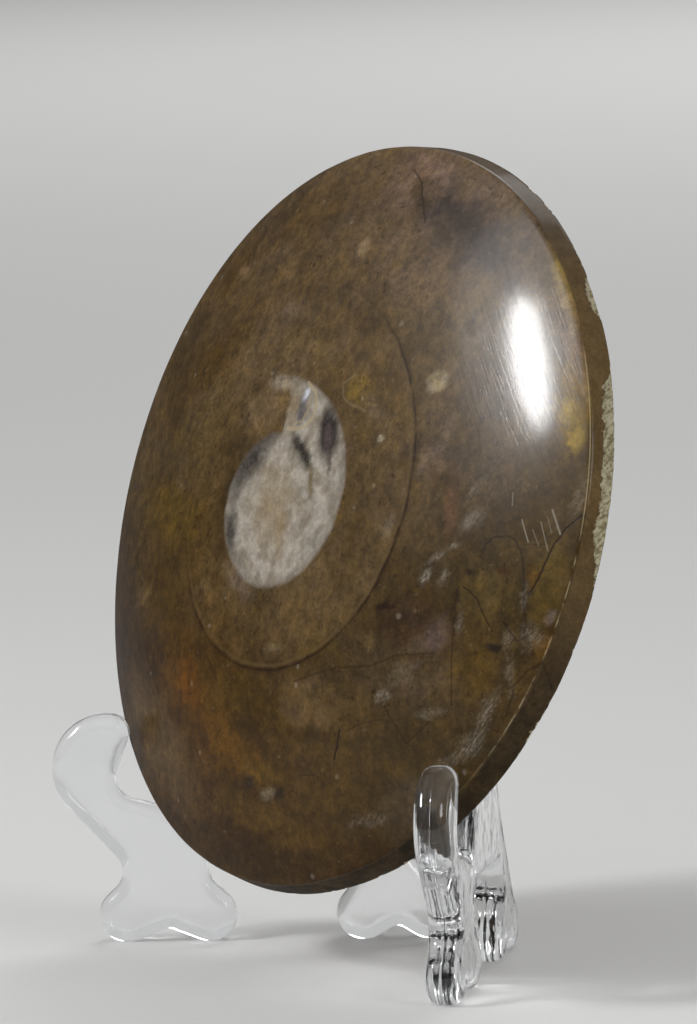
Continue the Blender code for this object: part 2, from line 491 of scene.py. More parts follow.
ZONES = (
    Patch((0.0, 40.0), (26.0, 12.0), (98, 80, 58), 0, 0.85, 0.9, LOOSE),
    Patch((20.0, 42.0), (12.0, 7.0), (104, 87, 71), -22, 0.8, 0.8, LOOSE),
    Patch((-26.0, 25.0), (17.0, 18.0), (86, 69, 47), 30, 0.85, 0.9, LOOSE),
    Patch((-40.0, 2.0), (9.0, 26.0), (80, 65, 46), 0, 0.85, 0.9, LOOSE),
    Patch((-24.0, -7.0), (13.0, 14.0), (80, 63, 38), 0, 0.85, 0.9, LOOSE),
    Patch((-34.0, -28.0), (12.0, 15.0), (42, 31, 13), -40, 0.92, 0.9, LOOSE),
    Patch((-43.0, -17.0), (5.5, 12.0), (46, 34, 15), 20, 0.85, 0.8, LOOSE),
    Patch((-22.0, -42.0), (10.0, 4.0), (44, 33, 15), -28, 0.8, 0.8, LOOSE),
    Patch((22.0, -42.5), (9.0, 3.6), (42, 31, 15), 27, 0.85, 0.7, LOOSE),
    Patch((-6.0, -34.0), (24.0, 12.0), (69, 49, 14), -8, 0.9, 0.9, LOOSE),
    Patch((22.0, -31.0), (19.0, 12.0), (72, 56, 32), 30, 0.9, 0.9, LOOSE),
    Patch((36.0, -9.0), (12.0, 24.0), (70, 56, 34), -8, 0.9, 0.8, LOOSE),
    Patch((14.0, 20.0), (20.0, 9.0), (89, 72, 48), -24, 0.8, 0.9, LOOSE),
    Patch((31.0, 12.0), (8.0, 12.0), (88, 72, 53), 0, 0.8, 0.8, LOOSE),
    Patch((40.0, -30.0), (8.0, 16.0), (66, 52, 31), -30, 0.7, 0.8, LOOSE),
    Patch((0.0, -45.0), (24.0, 4.5), (56, 41, 14), 0, 0.7, 0.9, LOOSE),
    Patch((25.0, -20.6), (17.0, 5.0), (80, 67, 50), 8, 0.7, 0.9, LOOSE),
    Patch((-28.0, 8.0), (16.0, 8.0), (87, 73, 53), 10, 0.6, 0.9, LOOSE),
)

STAINS = ZONES + (
    Patch((-15.0, 39.0), (10.0, 3.5), (80, 62, 38), 20, 0.7, 0.6, LOOSE),
    Patch((-27.0, 18.0), (7.0, 3.0), (70, 53, 30), 30, 0.7, 0.7, LOOSE),
    Patch((-31.0, 31.0), (5.0, 2.4), (74, 56, 32), 40, 0.7, 0.7, LOOSE),
    Patch((-20.0, 31.0), (6.0, 3.4), (96, 78, 54), 10, 0.6, 0.7, LOOSE),
    Patch((-30.0, -3.0), (8.0, 3.4), (88, 70, 34), -14, 0.6, 0.7, LOOSE),
    Patch((-24.0, 8.0), (6.0, 4.0), (88, 72, 46), 16, 0.6, 0.7, LOOSE),
    Patch((-36.0, 12.0), (4.0, 7.0), (68, 54, 36), 0, 0.6, 0.7, LOOSE),
    Patch((-27.0, -15.0), (6.0, 3.6), (76, 59, 33), -20, 0.7, 0.7, LOOSE),
    Patch((4.5, 44.0), (6.0, 4.0), (116, 94, 77), -12, 0.85, 0.5),
    Patch((12.5, 33.5), (8.0, 6.0), (104, 86, 68), -30, 0.6, 0.6, LOOSE),
    Patch((17.0, 38.0), (10.5, 3.8), (78, 66, 60), -22, 0.85, 0.6, LOOSE),
    Patch((14.4, 39.6), (4.4, 1.5), (56, 47, 44), -14, 0.75, 0.7, LOOSE),
    Patch((21.0, 35.6), (4.4, 1.6), (60, 51, 48), -28, 0.7, 0.7, LOOSE),
    Patch((26.6, 32.6), (5.0, 1.5), (70, 60, 56), -36, 0.6, 0.7, LOOSE),
    Patch((6.4, 41.6), (3.4, 1.0), (58, 46, 34), -40, 0.7, 0.6, LOOSE),
    Patch((43.0, 17.6), (7.2, 2.4), (108, 84, 18), 107, 0.97, 0.3),
    Patch((43.0, 15.8), (2.0, 1.0), (146, 122, 56), 100, 0.8, 0.5),
    Patch((45.0, 12.8), (2.2, 1.0), (146, 122, 54), 104, 0.8, 0.5),
    Patch((44.6, 19.0), (2.2, 0.7), (134, 112, 66), 108, 0.6, 0.5),
    Patch((36.0, 32.0), (5.4, 1.1), (138, 116, 64), 132, 0.94, 0.4, TIGHT),
    Patch((38.0, 29.6), (2.2, 1.2), (144, 122, 68), 128, 0.85, 0.5, TIGHT),
    Patch((39.6, 26.6), (1.4, 0.6), (132, 116, 68), 124, 0.8, 0.5, TIGHT),
    Patch((40.0, 25.5), (7.0, 1.8), (112, 88, 74), 122, 0.5, 0.6),
    Patch((26.4, -13.4), (6.6, 3.4), (70, 54, 40), -4, 0.9, 0.5, LOOSE),
    Patch((22.6, -12.8), (2.4, 2.2), (62, 47, 34), 10, 0.7, 0.6, LOOSE),
    Patch((30.4, -14.0), (1.7, 2.3), (100, 83, 72), -20, 0.75, 0.5),
    Patch((27.6, -15.6), (3.4, 0.9), (84, 73, 64), 14, 0.5, 0.7, LOOSE),
    Patch((21.2, -11.6), (1.6, 0.5), (44, 33, 22), 6, 0.85, 0.4, TIGHT),
    Patch((24.6, 7.0), (2.3, 2.4), (112, 93, 76), 30, 0.75, 0.4),
    Patch((26.0, 11.6), (0.9, 2.6), (104, 88, 72), -14, 0.6, 0.6),
    Patch((29.4, 2.2), (1.0, 3.6), (108, 78, 58), 12, 0.7, 0.5),
    Patch((27.0, 5.0), (3.6, 1.0), (70, 54, 36), -8, 0.6, 0.6, LOOSE),
    Patch((34.6, 10.6), (3.8, 2.0), (80, 64, 50), -20, 0.5, 0.7, LOOSE),
    Patch((7.8, 15.2), (2.5, 1.7), (112, 91, 46), -12, 0.85, 0.5),
    Patch((-10.6, 12.2), (4.8, 2.8), (112, 92, 64), 25, 0.85, 0.45, TIGHT),
    Patch((-8.2, 15.3), (3.0, 0.9), (138, 126, 108), 2, 0.9, 0.5, TIGHT),
    Patch((12.0, 13.2), (3.2, 1.0), (110, 92, 70), -30, 0.5, 0.6),
    Patch((-16.0, -26.6), (9.0, 4.4), (88, 60, 20), -38, 0.9, 0.8, LOOSE),
    Patch((-17.6, -24.6), (4.2, 2.2), (104, 66, 18), -44, 0.9, 0.7, LOOSE),
    Patch((-8.0, -31.4), (7.4, 3.0), (90, 64, 20), -24, 0.9, 0.7, LOOSE),
    Patch((-6.0, -25.0), (12.0, 4.0), (80, 62, 32), -14, 0.6, 0.7, LOOSE),
    Patch((-12.0, -20.6), (6.0, 2.0), (66, 48, 24), -20, 0.7, 0.7, LOOSE),
    Patch((-22.0, -20.0), (3.6, 2.0), (70, 52, 26), -50, 0.7, 0.7, LOOSE),
    Patch((-13.0, -32.0), (2.6, 1.2), (58, 40, 18), -40, 0.7, 0.6, LOOSE),
    Patch((-2.6, -29.4), (3.0, 1.1), (60, 44, 20), -12, 0.6, 0.6, LOOSE),
    Patch((0.6, -34.6), (3.6, 1.2), (98, 76, 36), -10, 0.6, 0.6, LOOSE),
    Patch((-2.0, -40.0), (8.0, 1.8), (92, 70, 36), -6, 0.7, 0.6, LOOSE),
    Patch((8.0, -42.6), (7.0, 1.2), (84, 64, 34), 8, 0.6, 0.6, LOOSE),
    Patch((9.6, -25.0), (6.0, 3.2), (98, 79, 54), 4, 0.85, 0.22),
    Patch((16.4, -24.0), (3.0, 2.2), (88, 70, 44), 30, 0.6, 0.4),
    Patch((8.0, -29.0), (6.6, 0.7), (60, 46, 26), 3, 0.6, 0.5),
    Patch((37.0, -7.6), (3.8, 3.0), (94, 77, 44), 20, 0.7, 0.6, LOOSE),
    Patch((45.4, -5.4), (2.0, 5.0), (96, 78, 38), -6, 0.7, 0.5),
    Patch((36.6, -17.4), (3.2, 3.8), (88, 68, 34), -10, 0.6, 0.6, LOOSE),
    Patch((43.6, -21.0), (1.8, 4.4), (84, 66, 40), -16, 0.6, 0.6, LOOSE),
    Patch((30.0, -20.4), (5.0, 1.6), (92, 76, 56), 10, 0.5, 0.7, LOOSE),
    Patch((-26.0, -33.0), (11.0, 4.6), (94, 77, 54), -38, 0.6, 0.5),
    Patch((-0.7, 34.0), (1.3, 1.0), (132, 112, 88), 10, 0.7, 0.6),
    Patch((-11.9, 25.1), (1.3, 1.0), (132, 112, 90), 0, 0.8, 0.6),
    Patch((-12.6, 25.4), (3.6, 2.4), (106, 86, 64), 0, 0.6, 0.6, LOOSE),
    Patch((-26.9, 30.3), (2.6, 1.0), (114, 92, 70), 12, 0.6, 0.6, LOOSE),
    Patch((-33.7, -14.0), (2.2, 1.1), (104, 84, 54), 8, 0.6, 0.6, LOOSE),
    Patch((-17.0, -13.2), (2.1, 1.2), (102, 84, 62), 10, 0.5, 0.6, LOOSE),
    Patch((21.9, 17.5), (1.6, 1.3), (142, 128, 106), 20, 0.85, 0.4),
    Patch((26.4, 24.4), (1.4, 0.8), (128, 110, 92), 50, 0.5, 0.6),
    Patch((14.5, 9.4), (0.5, 0.5), (170, 156, 130), 0, 0.9, 0.4, TIGHT),
    Patch((19.6, -1.8), (0.8, 1.4), (112, 98, 80), 0, 0.7, 0.6),
    Patch((33.2, 0.6), (1.5, 1.3), (110, 96, 76), 40, 0.6, 0.6),
    Patch((-10.0, 21.0), (9.0, 4.0), (102, 86, 64), 10, 0.6, 0.9, LOOSE),
    Patch((27.6, -35.6), (5.0, 2.8), (84, 72, 56), 30, 0.7, 0.8, LOOSE),
    Patch((-2.7, -36.0), (1.2, 0.8), (48, 40, 32), -10, 0.85, 0.5),
    Patch((3.5, -37.1), (0.9, 0.6), (44, 38, 32), 20, 0.85, 0.5),
    Patch((1.4, -37.2), (1.4, 0.6), (124, 112, 92), 10, 0.6, 0.5),
    Patch((38.9, -14.6), (1.2, 0.5), (40, 36, 36), -4, 0.9, 0.4),
    Patch((34.4, -5.8), (0.9, 0.45), (46, 38, 20), 6, 0.85, 0.5, TIGHT),
    Patch((39.2, -5.0), (0.9, 0.4), (72, 42, 26), 4, 0.75, 0.5, TIGHT),
    Patch((43.2, -5.2), (0.8, 1.4), (108, 76, 32), 0, 0.6, 0.6),
    Patch((45.9, -13.4), (0.9, 1.6), (112, 78, 30), -10, 0.7, 0.6),
    Patch((32.4, -10.4), (0.3, 1.7), (48, 36, 22), 0, 0.7, 0.5, TIGHT),
    Patch((19.5, -16.2), (1.0, 1.2), (104, 86, 56), 10, 0.7, 0.4),
    Patch((46.6, -9.6), (0.6, 0.9), (124, 106, 96), 0, 0.8, 0.5),
    Patch((0.6, -18.8), (1.8, 0.5), (122, 106, 76), 4, 0.6, 0.5, TIGHT),
    Patch((9.4, -18.2), (3.2, 0.9), (98, 80, 44), 14, 0.6, 0.5, TIGHT),
    Patch((-9.0, -10.9), (4.0, 1.3), (106, 92, 76), -24, 0.6, 0.6),
    Patch((-17.0, 13.0), (2.4, 5.0), (96, 78, 54), -24, 0.5, 0.7, LOOSE),
    Patch((-14.8, -1.0), (8.0, 1.7), (60, 48, 33), 94, 0.6, 0.8),
    Patch((6.0, 24.0), (6.0, 1.2), (76, 60, 40), -8, 0.6, 0.6, LOOSE),
    Patch((-4.0, 22.4), (5.0, 1.4), (80, 64, 44), 6, 0.5, 0.6, LOOSE),
)

CORE_MARKS = (
    Patch((-4.3, -0.5), (3.4, 4.6), (146, 128, 100), 20, 0.7, 0.8),
    Patch((-1.6, -4.6), (3.0, 0.8), (138, 118, 86), -76, 0.6, 0.7),
    Patch((-13.2, 0.2), (3.4, 1.1), (104, 100, 94), 95, 0.75, 0.7, TIGHT),
    Patch((-11.1, 5.0), (4.4, 2.0), (52, 47, 45), 50, 0.95, 0.8, TIGHT),
    Patch((-8.4, 8.0), (2.4, 0.9), (92, 85, 78), 32, 0.8, 0.7, TIGHT),
    Patch((-12.5, -5.0), (2.6, 1.2), (60, 56, 53), -68, 0.92, 0.75, TIGHT),
    Patch((-9.6, -8.6), (2.4, 1.0), (116, 110, 100), -40, 0.5, 0.6),
    Patch((6.4, -4.5), (1.6, 1.2), (116, 112, 104), 30, 0.5, 0.6, LOOSE),
    Patch((8.0, 2.0), (2.4, 0.9), (124, 118, 108), 90, 0.5, 0.6, LOOSE),
    Patch((3.3, 11.7), (1.7, 1.0), (88, 80, 73), 105, 0.8, 0.6, TIGHT),
    Patch((4.1, 9.2), (3.4, 2.0), (44, 38, 38), 109, 0.97, 0.40, TIGHT),
    Patch((4.2, 8.6), (1.7, 0.8), (86, 75, 75), 109, 0.8, 0.6, TIGHT),
    Patch((5.6, 5.3), (1.5, 0.45), (80, 72, 64), 112, 0.85, 0.6, TIGHT),
    Patch((-1.4, 6.5), (2.9, 1.2), (120, 112, 98), -36, 0.7, 0.7, TIGHT),
    Patch((-1.8, 7.6), (1.7, 0.85), (50, 44, 40), -32, 0.95, 0.6, TIGHT),
    Patch((0.3, 6.1), (1.9, 0.85), (42, 37, 34), -44, 0.97, 0.6, TIGHT),
    Patch((2.6, 2.8), (2.1, 0.45), (108, 94, 66), -73, 0.9, 0.6, TIGHT),
    Patch((-4.5, 12.2), (2.7, 1.1), (134, 118, 94), 88, 0.85, 0.5, TIGHT),
    Patch((-6.1, 11.9), (2.9, 0.7), (104, 86, 60), 84, 0.95, 0.7, TIGHT),
    Patch((-2.5, 12.2), (2.1, 0.95), (92, 88, 87), 87, 0.92, 0.45, TIGHT),
    # A painted highlight: the blue-white glint on the grey calcite.
    Patch((-2.4, 14.1), (0.8, 0.5), (208, 208, 216), 80, 0.95, 0.5, TIGHT),
)

CREAM_LINES = (
    Trace(((-4.8, 9.4), (-2.9, 9.5), (-1.0, 9.9), (0.1, 11.2), (0.3, 12.9), (-0.7, 14.6), (-2.6, 15.6)),
          0.50, CREAM, 0.75),
    Trace(((-3.4, 10.2), (-2.0, 10.6), (-1.4, 11.8), (-1.3, 13.3)), 0.36, (160, 144, 116), 0.6),
    Trace(((10.4, 12.7), (6.6, 13.5), (5.2, 14.3), (4.6, 15.9), (6.6, 17.2)),
          0.40, (138, 120, 92), 0.32),
)

SUTURES = tuple(Trace(points, width, DARK_LINE, *rest) for points, width, *rest in (
    (((51.6, 3.0), (50.0, 3.6), (48.3, 3.3), (46.7, 1.5), (45.4, -1.0), (44.7, -3.3), (44.1, -5.6),
      (43.2, -7.6)), 0.30, 0.85, True),
    (((35.5, -3.8), (35.9, -2.0), (37.0, -1.0), (38.7, -0.6), (39.9, -0.9), (41.0, -2.0),
      (41.7, -3.6), (42.3, -6.2)), 0.24, 0.62),
    (((42.3, -6.2), (42.7, -8.7), (43.4, -10.9), (43.3, -12.7), (42.5, -13.3), (41.2, -12.2),
      (40.2, -11.2)), 0.28, 0.75),
    (((41.2, -1.4), (44.2, -1.0)), 0.22, 0.35),
    (((33.6, -7.6), (35.9, -8.9), (37.1, -10.6), (38.2, -11.9)), 0.26, 0.7),
    (((32.7, -8.2), (33.0, -14.3), (33.7, -22.4)), 0.24, 0.5),
    (((46.8, -14.8), (44.2, -16.8), (42.6, -18.8), (41.8, -22.6)), 0.26, 0.55),
    (((47.4, -13.2), (50.0, -12.2)), 0.26, 0.5),
    (((2.2, 45.3), (5.0, 43.6), (6.8, 41.2), (9.4, 38.2)), 0.3, 0.6),
    (((5.6, -22.7), (10.1, -21.2), (13.8, -20.1), (20.1, -19.2), (24.0, -17.5), (30.4, -16.4)), 0.30, 0.38),
    (((15.2, -27.8), (14.9, -29.6), (14.4, -31.4)), 0.40, 0.85, True),
    (((22.9, -24.0), (24.6, -25.7), (26.8, -28.1), (28.7, -26.5), (30.3, -24.9)), 0.24, 0.5),
    (((16.4, -27.8), (18.8, -26.6), (22.4, -25.6)), 0.22, 0.4),
    (((8.0, -34.2), (11.0, -33.8), (12.6, -35.0)), 0.24, 0.5),
    (((-14.0, -21.0), (-11.0, -24.0)), 0.34, 0.4),
))

BRIGHT_SCRATCHES = tuple(Trace(points, width, CHALK, strength) for points, width, strength in (
    (((44.3, 3.4), (46.0, 0.6)), 0.28, 0.8),
    (((43.1, 1.7), (44.8, -1.7)), 0.17, 0.6),
    (((42.2, 0.6), (43.4, -1.2)), 0.14, 0.5),
    (((43.9, 2.4), (44.8, 0.6)), 0.14, 0.45),
    (((40.4, 1.6), (41.9, -1.0)), 0.20, 0.8),
    (((38.3, 4.8), (38.6, 3.2)), 0.20, 0.6),
))

SCUFFS = tuple(Patch(at, half, CHALK, *rest) for at, half, *rest in (
    ((38.9, -22.6), (3.0, 0.7), 64, 0.8, 0.7),
    ((37.0, -26.6), (2.6, 1.0), 54, 1.0, 0.7),
    ((34.0, -29.2), (3.4, 0.7), 30, 0.8, 0.7),
    ((42.0, -17.4), (2.6, 0.5), 96, 0.7, 0.7),
    ((44.3, -12.6), (1.4, 1.6), 30, 0.6, 0.8),
    ((41.0, -13.2), (1.1, 0.7), 80, 0.8, 0.7),
    ((42.6, -7.9), (1.5, 0.5), 92, 0.8, 0.7),
    ((27.3, -7.0), (1.0, 0.7), 60, 1.5, 0.6),
    ((30.3, -7.0), (0.9, 0.6), 60, 0.9, 0.6),
    ((28.6, -4.5), (1.5, 0.4), 34, 1.0, 0.7, TIGHT),
    ((30.9, -3.0), (0.9, 0.35), 24, 1.0, 0.7, TIGHT),
    ((33.0, 0.6), (1.4, 0.8), 48, 0.8, 0.8),
    ((32.6, 4.8), (2.0, 0.5), 62, 0.7, 0.8),
    ((47.4, 5.6), (2.2, 0.7), 92, 0.6, 0.7),
    ((22.4, -22.8), (1.1, 0.7), 20, 1.3, 0.6, TIGHT),
    ((30.4, -23.8), (2.2, 0.5), 10, 0.6, 0.7),
    ((33.7, -12.0), (1.6, 0.4), 94, 0.7, 0.7),
    ((20.6, -38.4), (3.6, 0.6), 12, 0.5, 0.7),
    ((26.0, -19.4), (3.0, 1.0), 30, 0.35, 0.8, LOOSE),
    ((36.0, 8.0), (5.0, 4.0), 60, 0.16, 0.9, LOOSE),
))


@dataclass(frozen=True)
class Whorl:
    """The spiral seam between the turns of the shell, centred on the face in millimetres."""

    centre: Point = (-4.65, 0.70)
    start: float = 1.9889             # natural log of the radius where the angle is nought
    growth: float = 0.1005            # growth of that log with each radian
    seam: float = math.radians(96.5)  # where the first turn's end meets its start
    swing: Point = (0.0070, -0.0367)  # wave on the radius, once round: its cosine and sine parts
    squash: Point = (0.0177, 0.0060)  # and the wave twice round

    def gap(self, sheet: NodeSheet, across: Feed, up: Feed) -> tuple[Socket, Socket, Socket]:
        """Measure how far a point lies inside the first and the second turn.

        Args:
            sheet: The slice's node tree.
            across: U.
            up: V.

        Returns:
            Millimetres inside the first turn, inside the second, and the point's angle.
        """
        right = sheet.minus(across, self.centre[0])
        above = sheet.minus(up, self.centre[1])
        angle = sheet.math("ARCTAN2", above, right)
        early = sheet.math("LESS_THAN", angle, self.seam)
        wound = sheet.times_plus(early, 2.0 * math.pi, angle)
        radius = sheet.larger(sheet.vector("LENGTH", sheet.combine(right, above, 0.0)), 0.1)
        double = sheet.times(angle, 2.0)
        shape: Feed = 1.0
        for size, turning, wave in (
            (self.swing[0], angle, "COSINE"), (self.swing[1], angle, "SINE"),
            (self.squash[0], double, "COSINE"), (self.squash[1], double, "SINE"),
        ):
            shape = sheet.times_plus(sheet.math(wave, turning), size, shape)
        here = sheet.math("LOGARITHM", sheet.over(radius, shape), math.e)
        first = sheet.minus(sheet.times_plus(wound, self.growth, self.start), here)
        second = sheet.plus(first, 2.0 * math.pi * self.growth)
        return sheet.times(first, radius), sheet.times(second, radius), angle


class Field(Enum):
    """The slow patterns that the slice carries on its skin for its material to read."""

    STAIN = "stain"
    STAIN_COVER = "stain_cover"
    HEART = "heart_stain"
    HEART_COVER = "heart_cover"
    FIRST_TURN = "first_turn"
    SECOND_TURN = "second_turn"
    SEAM_SHOWN = "seam_shown"
    SCUFF = "scuff"
    CLOUD = "cloud"
    TINGE = "tinge"
    MILK = "milk"
    CHIP = "chip"
    RUB = "rub"

    def read(self, sheet: NodeSheet) -> Socket:
        """Read the pattern in a material."""
        made = sheet.node("ShaderNodeAttribute", attribute_type="GEOMETRY", attribute_name=self.value)
        return made.outputs["Vector" if self in {Field.STAIN, Field.HEART} else "Fac"]

    def lay(self, sheet: NodeSheet, skin: Feed, value: Feed) -> Socket:
        """Store the pattern on the skin.

        Args:
            sheet: The slice's node tree.
            skin: The geometry.
            value: The pattern.

        Returns:
            The geometry with the pattern on it.
        """
        kind = "FLOAT_VECTOR" if self in {Field.STAIN, Field.HEART} else "FLOAT"
        made = sheet.node("GeometryNodeStoreNamedAttribute", data_type=kind, domain="POINT")
        made.inputs["Name"].default_value = self.value
        sheet.feed(made.inputs["Geometry"], skin)
        sheet.feed(made.inputs["Value"], value)
        return made.outputs["Geometry"]


def stone(red: int, green: int, blue: int) -> Rgb:
    """Find the stone's own colour for a colour that the screen should show.

    Args:
        red: Red from 0 to 255.
        green: Green from 0 to 255.
        blue: Blue from 0 to 255.

    Returns:
        Linear red, green and blue, without the light that the polish adds.
    """
    seen = tone(red, green, blue)
    return tuple(min(1.0, max(STONE_GAIN * part - STONE_VEIL, 0.2 * part)) for part in seen)


@dataclass(frozen=True)
class StoneMap:
    """Works out the slow patterns of the stone, in millimetres on the face."""

    whorl: Whorl = Whorl()

    def build_oval(self) -> Tree:
        """Make the soft oval that every patch is.

        Returns:
            A group that gives 1 inside the oval and 0 outside.
        """
        sheet, takes, result = new_group(
            "soft_oval",
            {
                "Position": (0, 0, 0), "Centre": (0, 0, 0), "Half Size": (1, 1, 1),
                "Turn": 0.0, "Softness": 0.3,
            }, "Mask", "GeometryNodeTree",
        )
        away = sheet.away(takes["Position"], takes["Centre"])
        turned = sheet.node("ShaderNodeVectorRotate", rotation_type="Y_AXIS")
        sheet.feed(turned.inputs["Vector"], sheet.vector("MULTIPLY", away, (1.0, 0.0, 1.0)))
        sheet.feed(turned.inputs["Angle"], takes["Turn"])
        share = sheet.vector("LENGTH", sheet.vector("DIVIDE", turned.outputs[0], takes["Half Size"]))
        outer = sheet.plus(1.0, takes["Softness"])
        inner = sheet.minus(1.0, takes["Softness"])
        sheet.feed(result, sheet.ramp(share, outer, inner))
        return sheet.tree

    def mask(self, sheet: NodeSheet, oval: Tree, strays: dict[Stray, Feed], patch: Patch) -> Socket:
        """Place one patch.

        Args:
            sheet: The slice's node tree.
            oval: The group that makes an oval.
            strays: Face position, shifted by each amount.
            patch: The patch.

        Returns:
            Its mask with its strength in it.
        """
        (u, v), (length, width) = patch.at, patch.half
        made = sheet.group(
            oval, position=strays[patch.stray], centre=(u, 0.0, v), half_size=(length, 1.0, width),
            turn=math.radians(patch.turn), softness=patch.soft,
        )
        return sheet.times(made.outputs[0], patch.strength)

    def stack(self, sheet: NodeSheet, oval: Tree, strays: dict[Stray, Feed],
              patches: tuple[Patch, ...]) -> tuple[Feed, Feed]:
        """Lay patches over each other.

        Args:
            sheet: The slice's node tree.
            oval: The group that makes an oval.
            strays: Face position, shifted by each amount.
            patches: The patches, from the lowest to the highest.

        Returns:
            Their colour, already multiplied by their cover, and the cover.
        """
        colour: Feed = (0.0, 0.0, 0.0)
        cover: Feed = 0.0
        for patch in patches:
            mask = self.mask(sheet, oval, strays, patch)
            colour = sheet.mix(mask, colour, stone(*patch.colour))
            cover = sheet.plus(sheet.times(cover, sheet.minus(1.0, mask)), mask)
        return colour, cover

    def lay(self, sheet: NodeSheet, skin: Feed, place: Feed) -> Socket:
        """Store every pattern but the chips on the skin.

        Args:
            sheet: The slice's node tree.
            skin: The geometry, in the face's own axes.
            place: Its points in millimetres.

        Returns:
            The geometry with the patterns on it.
        """
        wander = sheet.away(sheet.noise(place, 0.28, 3.0, 0.6, 3.0, True), (0.5, 0.5, 0.5))
        tremble = sheet.away(sheet.noise(place, 0.95, 2.0, 0.6, 5.0, True), (0.5, 0.5, 0.5))
        strays = Stray.places(sheet, place, wander, tremble)
        oval = self.build_oval()
        stain, cover = self.stack(sheet, oval, strays, STAINS)
        heart, heart_cover = self.stack(sheet, oval, strays, CORE_MARKS)
        scuff: Feed = 0.0
        for patch in SCUFFS:
            scuff = sheet.larger(scuff, self.mask(sheet, oval, strays, patch))
        across, _, up = sheet.split(sheet.shift(place, sheet.scale(wander, 0.7)))
        first, second, angle = self.whorl.gap(sheet, across, up)
        patchy = sheet.noise(place, 0.30, 2.0, 0.6, 9.0)
        fade = sheet.times(sheet.ramp(angle, 1.30, 0.70), sheet.ramp(angle, -2.75, -2.0))
        shown = sheet.times(sheet.larger(fade, 0.22), sheet.ramp(patchy, 0.34, 0.56, 0.45, 1.0))
        cloud = sheet.noise(sheet.shift(place, sheet.scale(wander, 6.0)), 0.085, 3.0, 0.6, 1.0)
        milk = sheet.noise(place, 0.42, 3.0, 0.6, 7.0)
        tinge = sheet.noise(sheet.shift(place, sheet.scale(wander, 3.0)), 0.24, 3.0, 0.6, 27.0)
        over, _, rise = sheet.split(place)
        turn = sheet.math("ARCTAN2", rise, over)
        # The ridge's pale line is partly wear and partly a painted highlight: whole along the upper right,
        # where the light glances off the ridge, and in broken bits on the lower right.
        broken = sheet.ramp(sheet.noise(place, 0.55, 3.0, 0.65, 13.0), 0.42, 0.56)
        whole = sheet.times(sheet.ramp(turn, -0.02, 0.08), sheet.ramp(turn, 0.56, 0.46, 0.0, 0.95))
        bits = sheet.times(sheet.times(sheet.ramp(turn, -0.85, -0.40), sheet.ramp(turn, 0.10, 0.0)), broken)
        rub = sheet.larger(whole, bits)
        patterns = {
            Field.STAIN: stain, Field.STAIN_COVER: cover, Field.HEART: heart, Field.HEART_COVER: heart_cover,
            Field.SCUFF: scuff, Field.FIRST_TURN: first, Field.SECOND_TURN: second, Field.SEAM_SHOWN: shown,
            Field.CLOUD: cloud, Field.TINGE: tinge, Field.MILK: milk, Field.RUB: rub,
        }
        for pattern, value in patterns.items():
            skin = pattern.lay(sheet, skin, value)
        return skin


# ---------------------------------------------------------------- finishes


@dataclass(frozen=True)
class StoneFinish:
    """Polished brown limestone with the calcite heart of the shell in it.

    Attributes:
        polish: Roughness of the polished face.
        gloss: Roughness of the wax coat on it.
        sawn: Roughness of the sawn back and the chips.
        wax: Weight of the wax coat.
        shine: Specular level of the stone under the wax.
        wheel_slant: Direction of the slanting marks of the polishing wheel.
        scuff_slant: Direction of the hairs in a scuff.
    """

    polish: float = 0.36
    gloss: float = 0.12
    sawn: float = 0.82
    wax: float = 0.34
    shine: float = 0.12
    wheel_slant: float = math.radians(-50.0)
    scuff_slant: float = math.radians(56.0)

    def material(self, effects: Effects) -> Material:
        """Build the stone.

        Args:
            effects: The shared groups.

        Returns:
            The finished material.
        """
        made = bpy.data.materials.new("polished_fossil_stone")
        made.use_nodes = True
        StonePaint(NodeSheet(made.node_tree), effects, self).build()
        return made


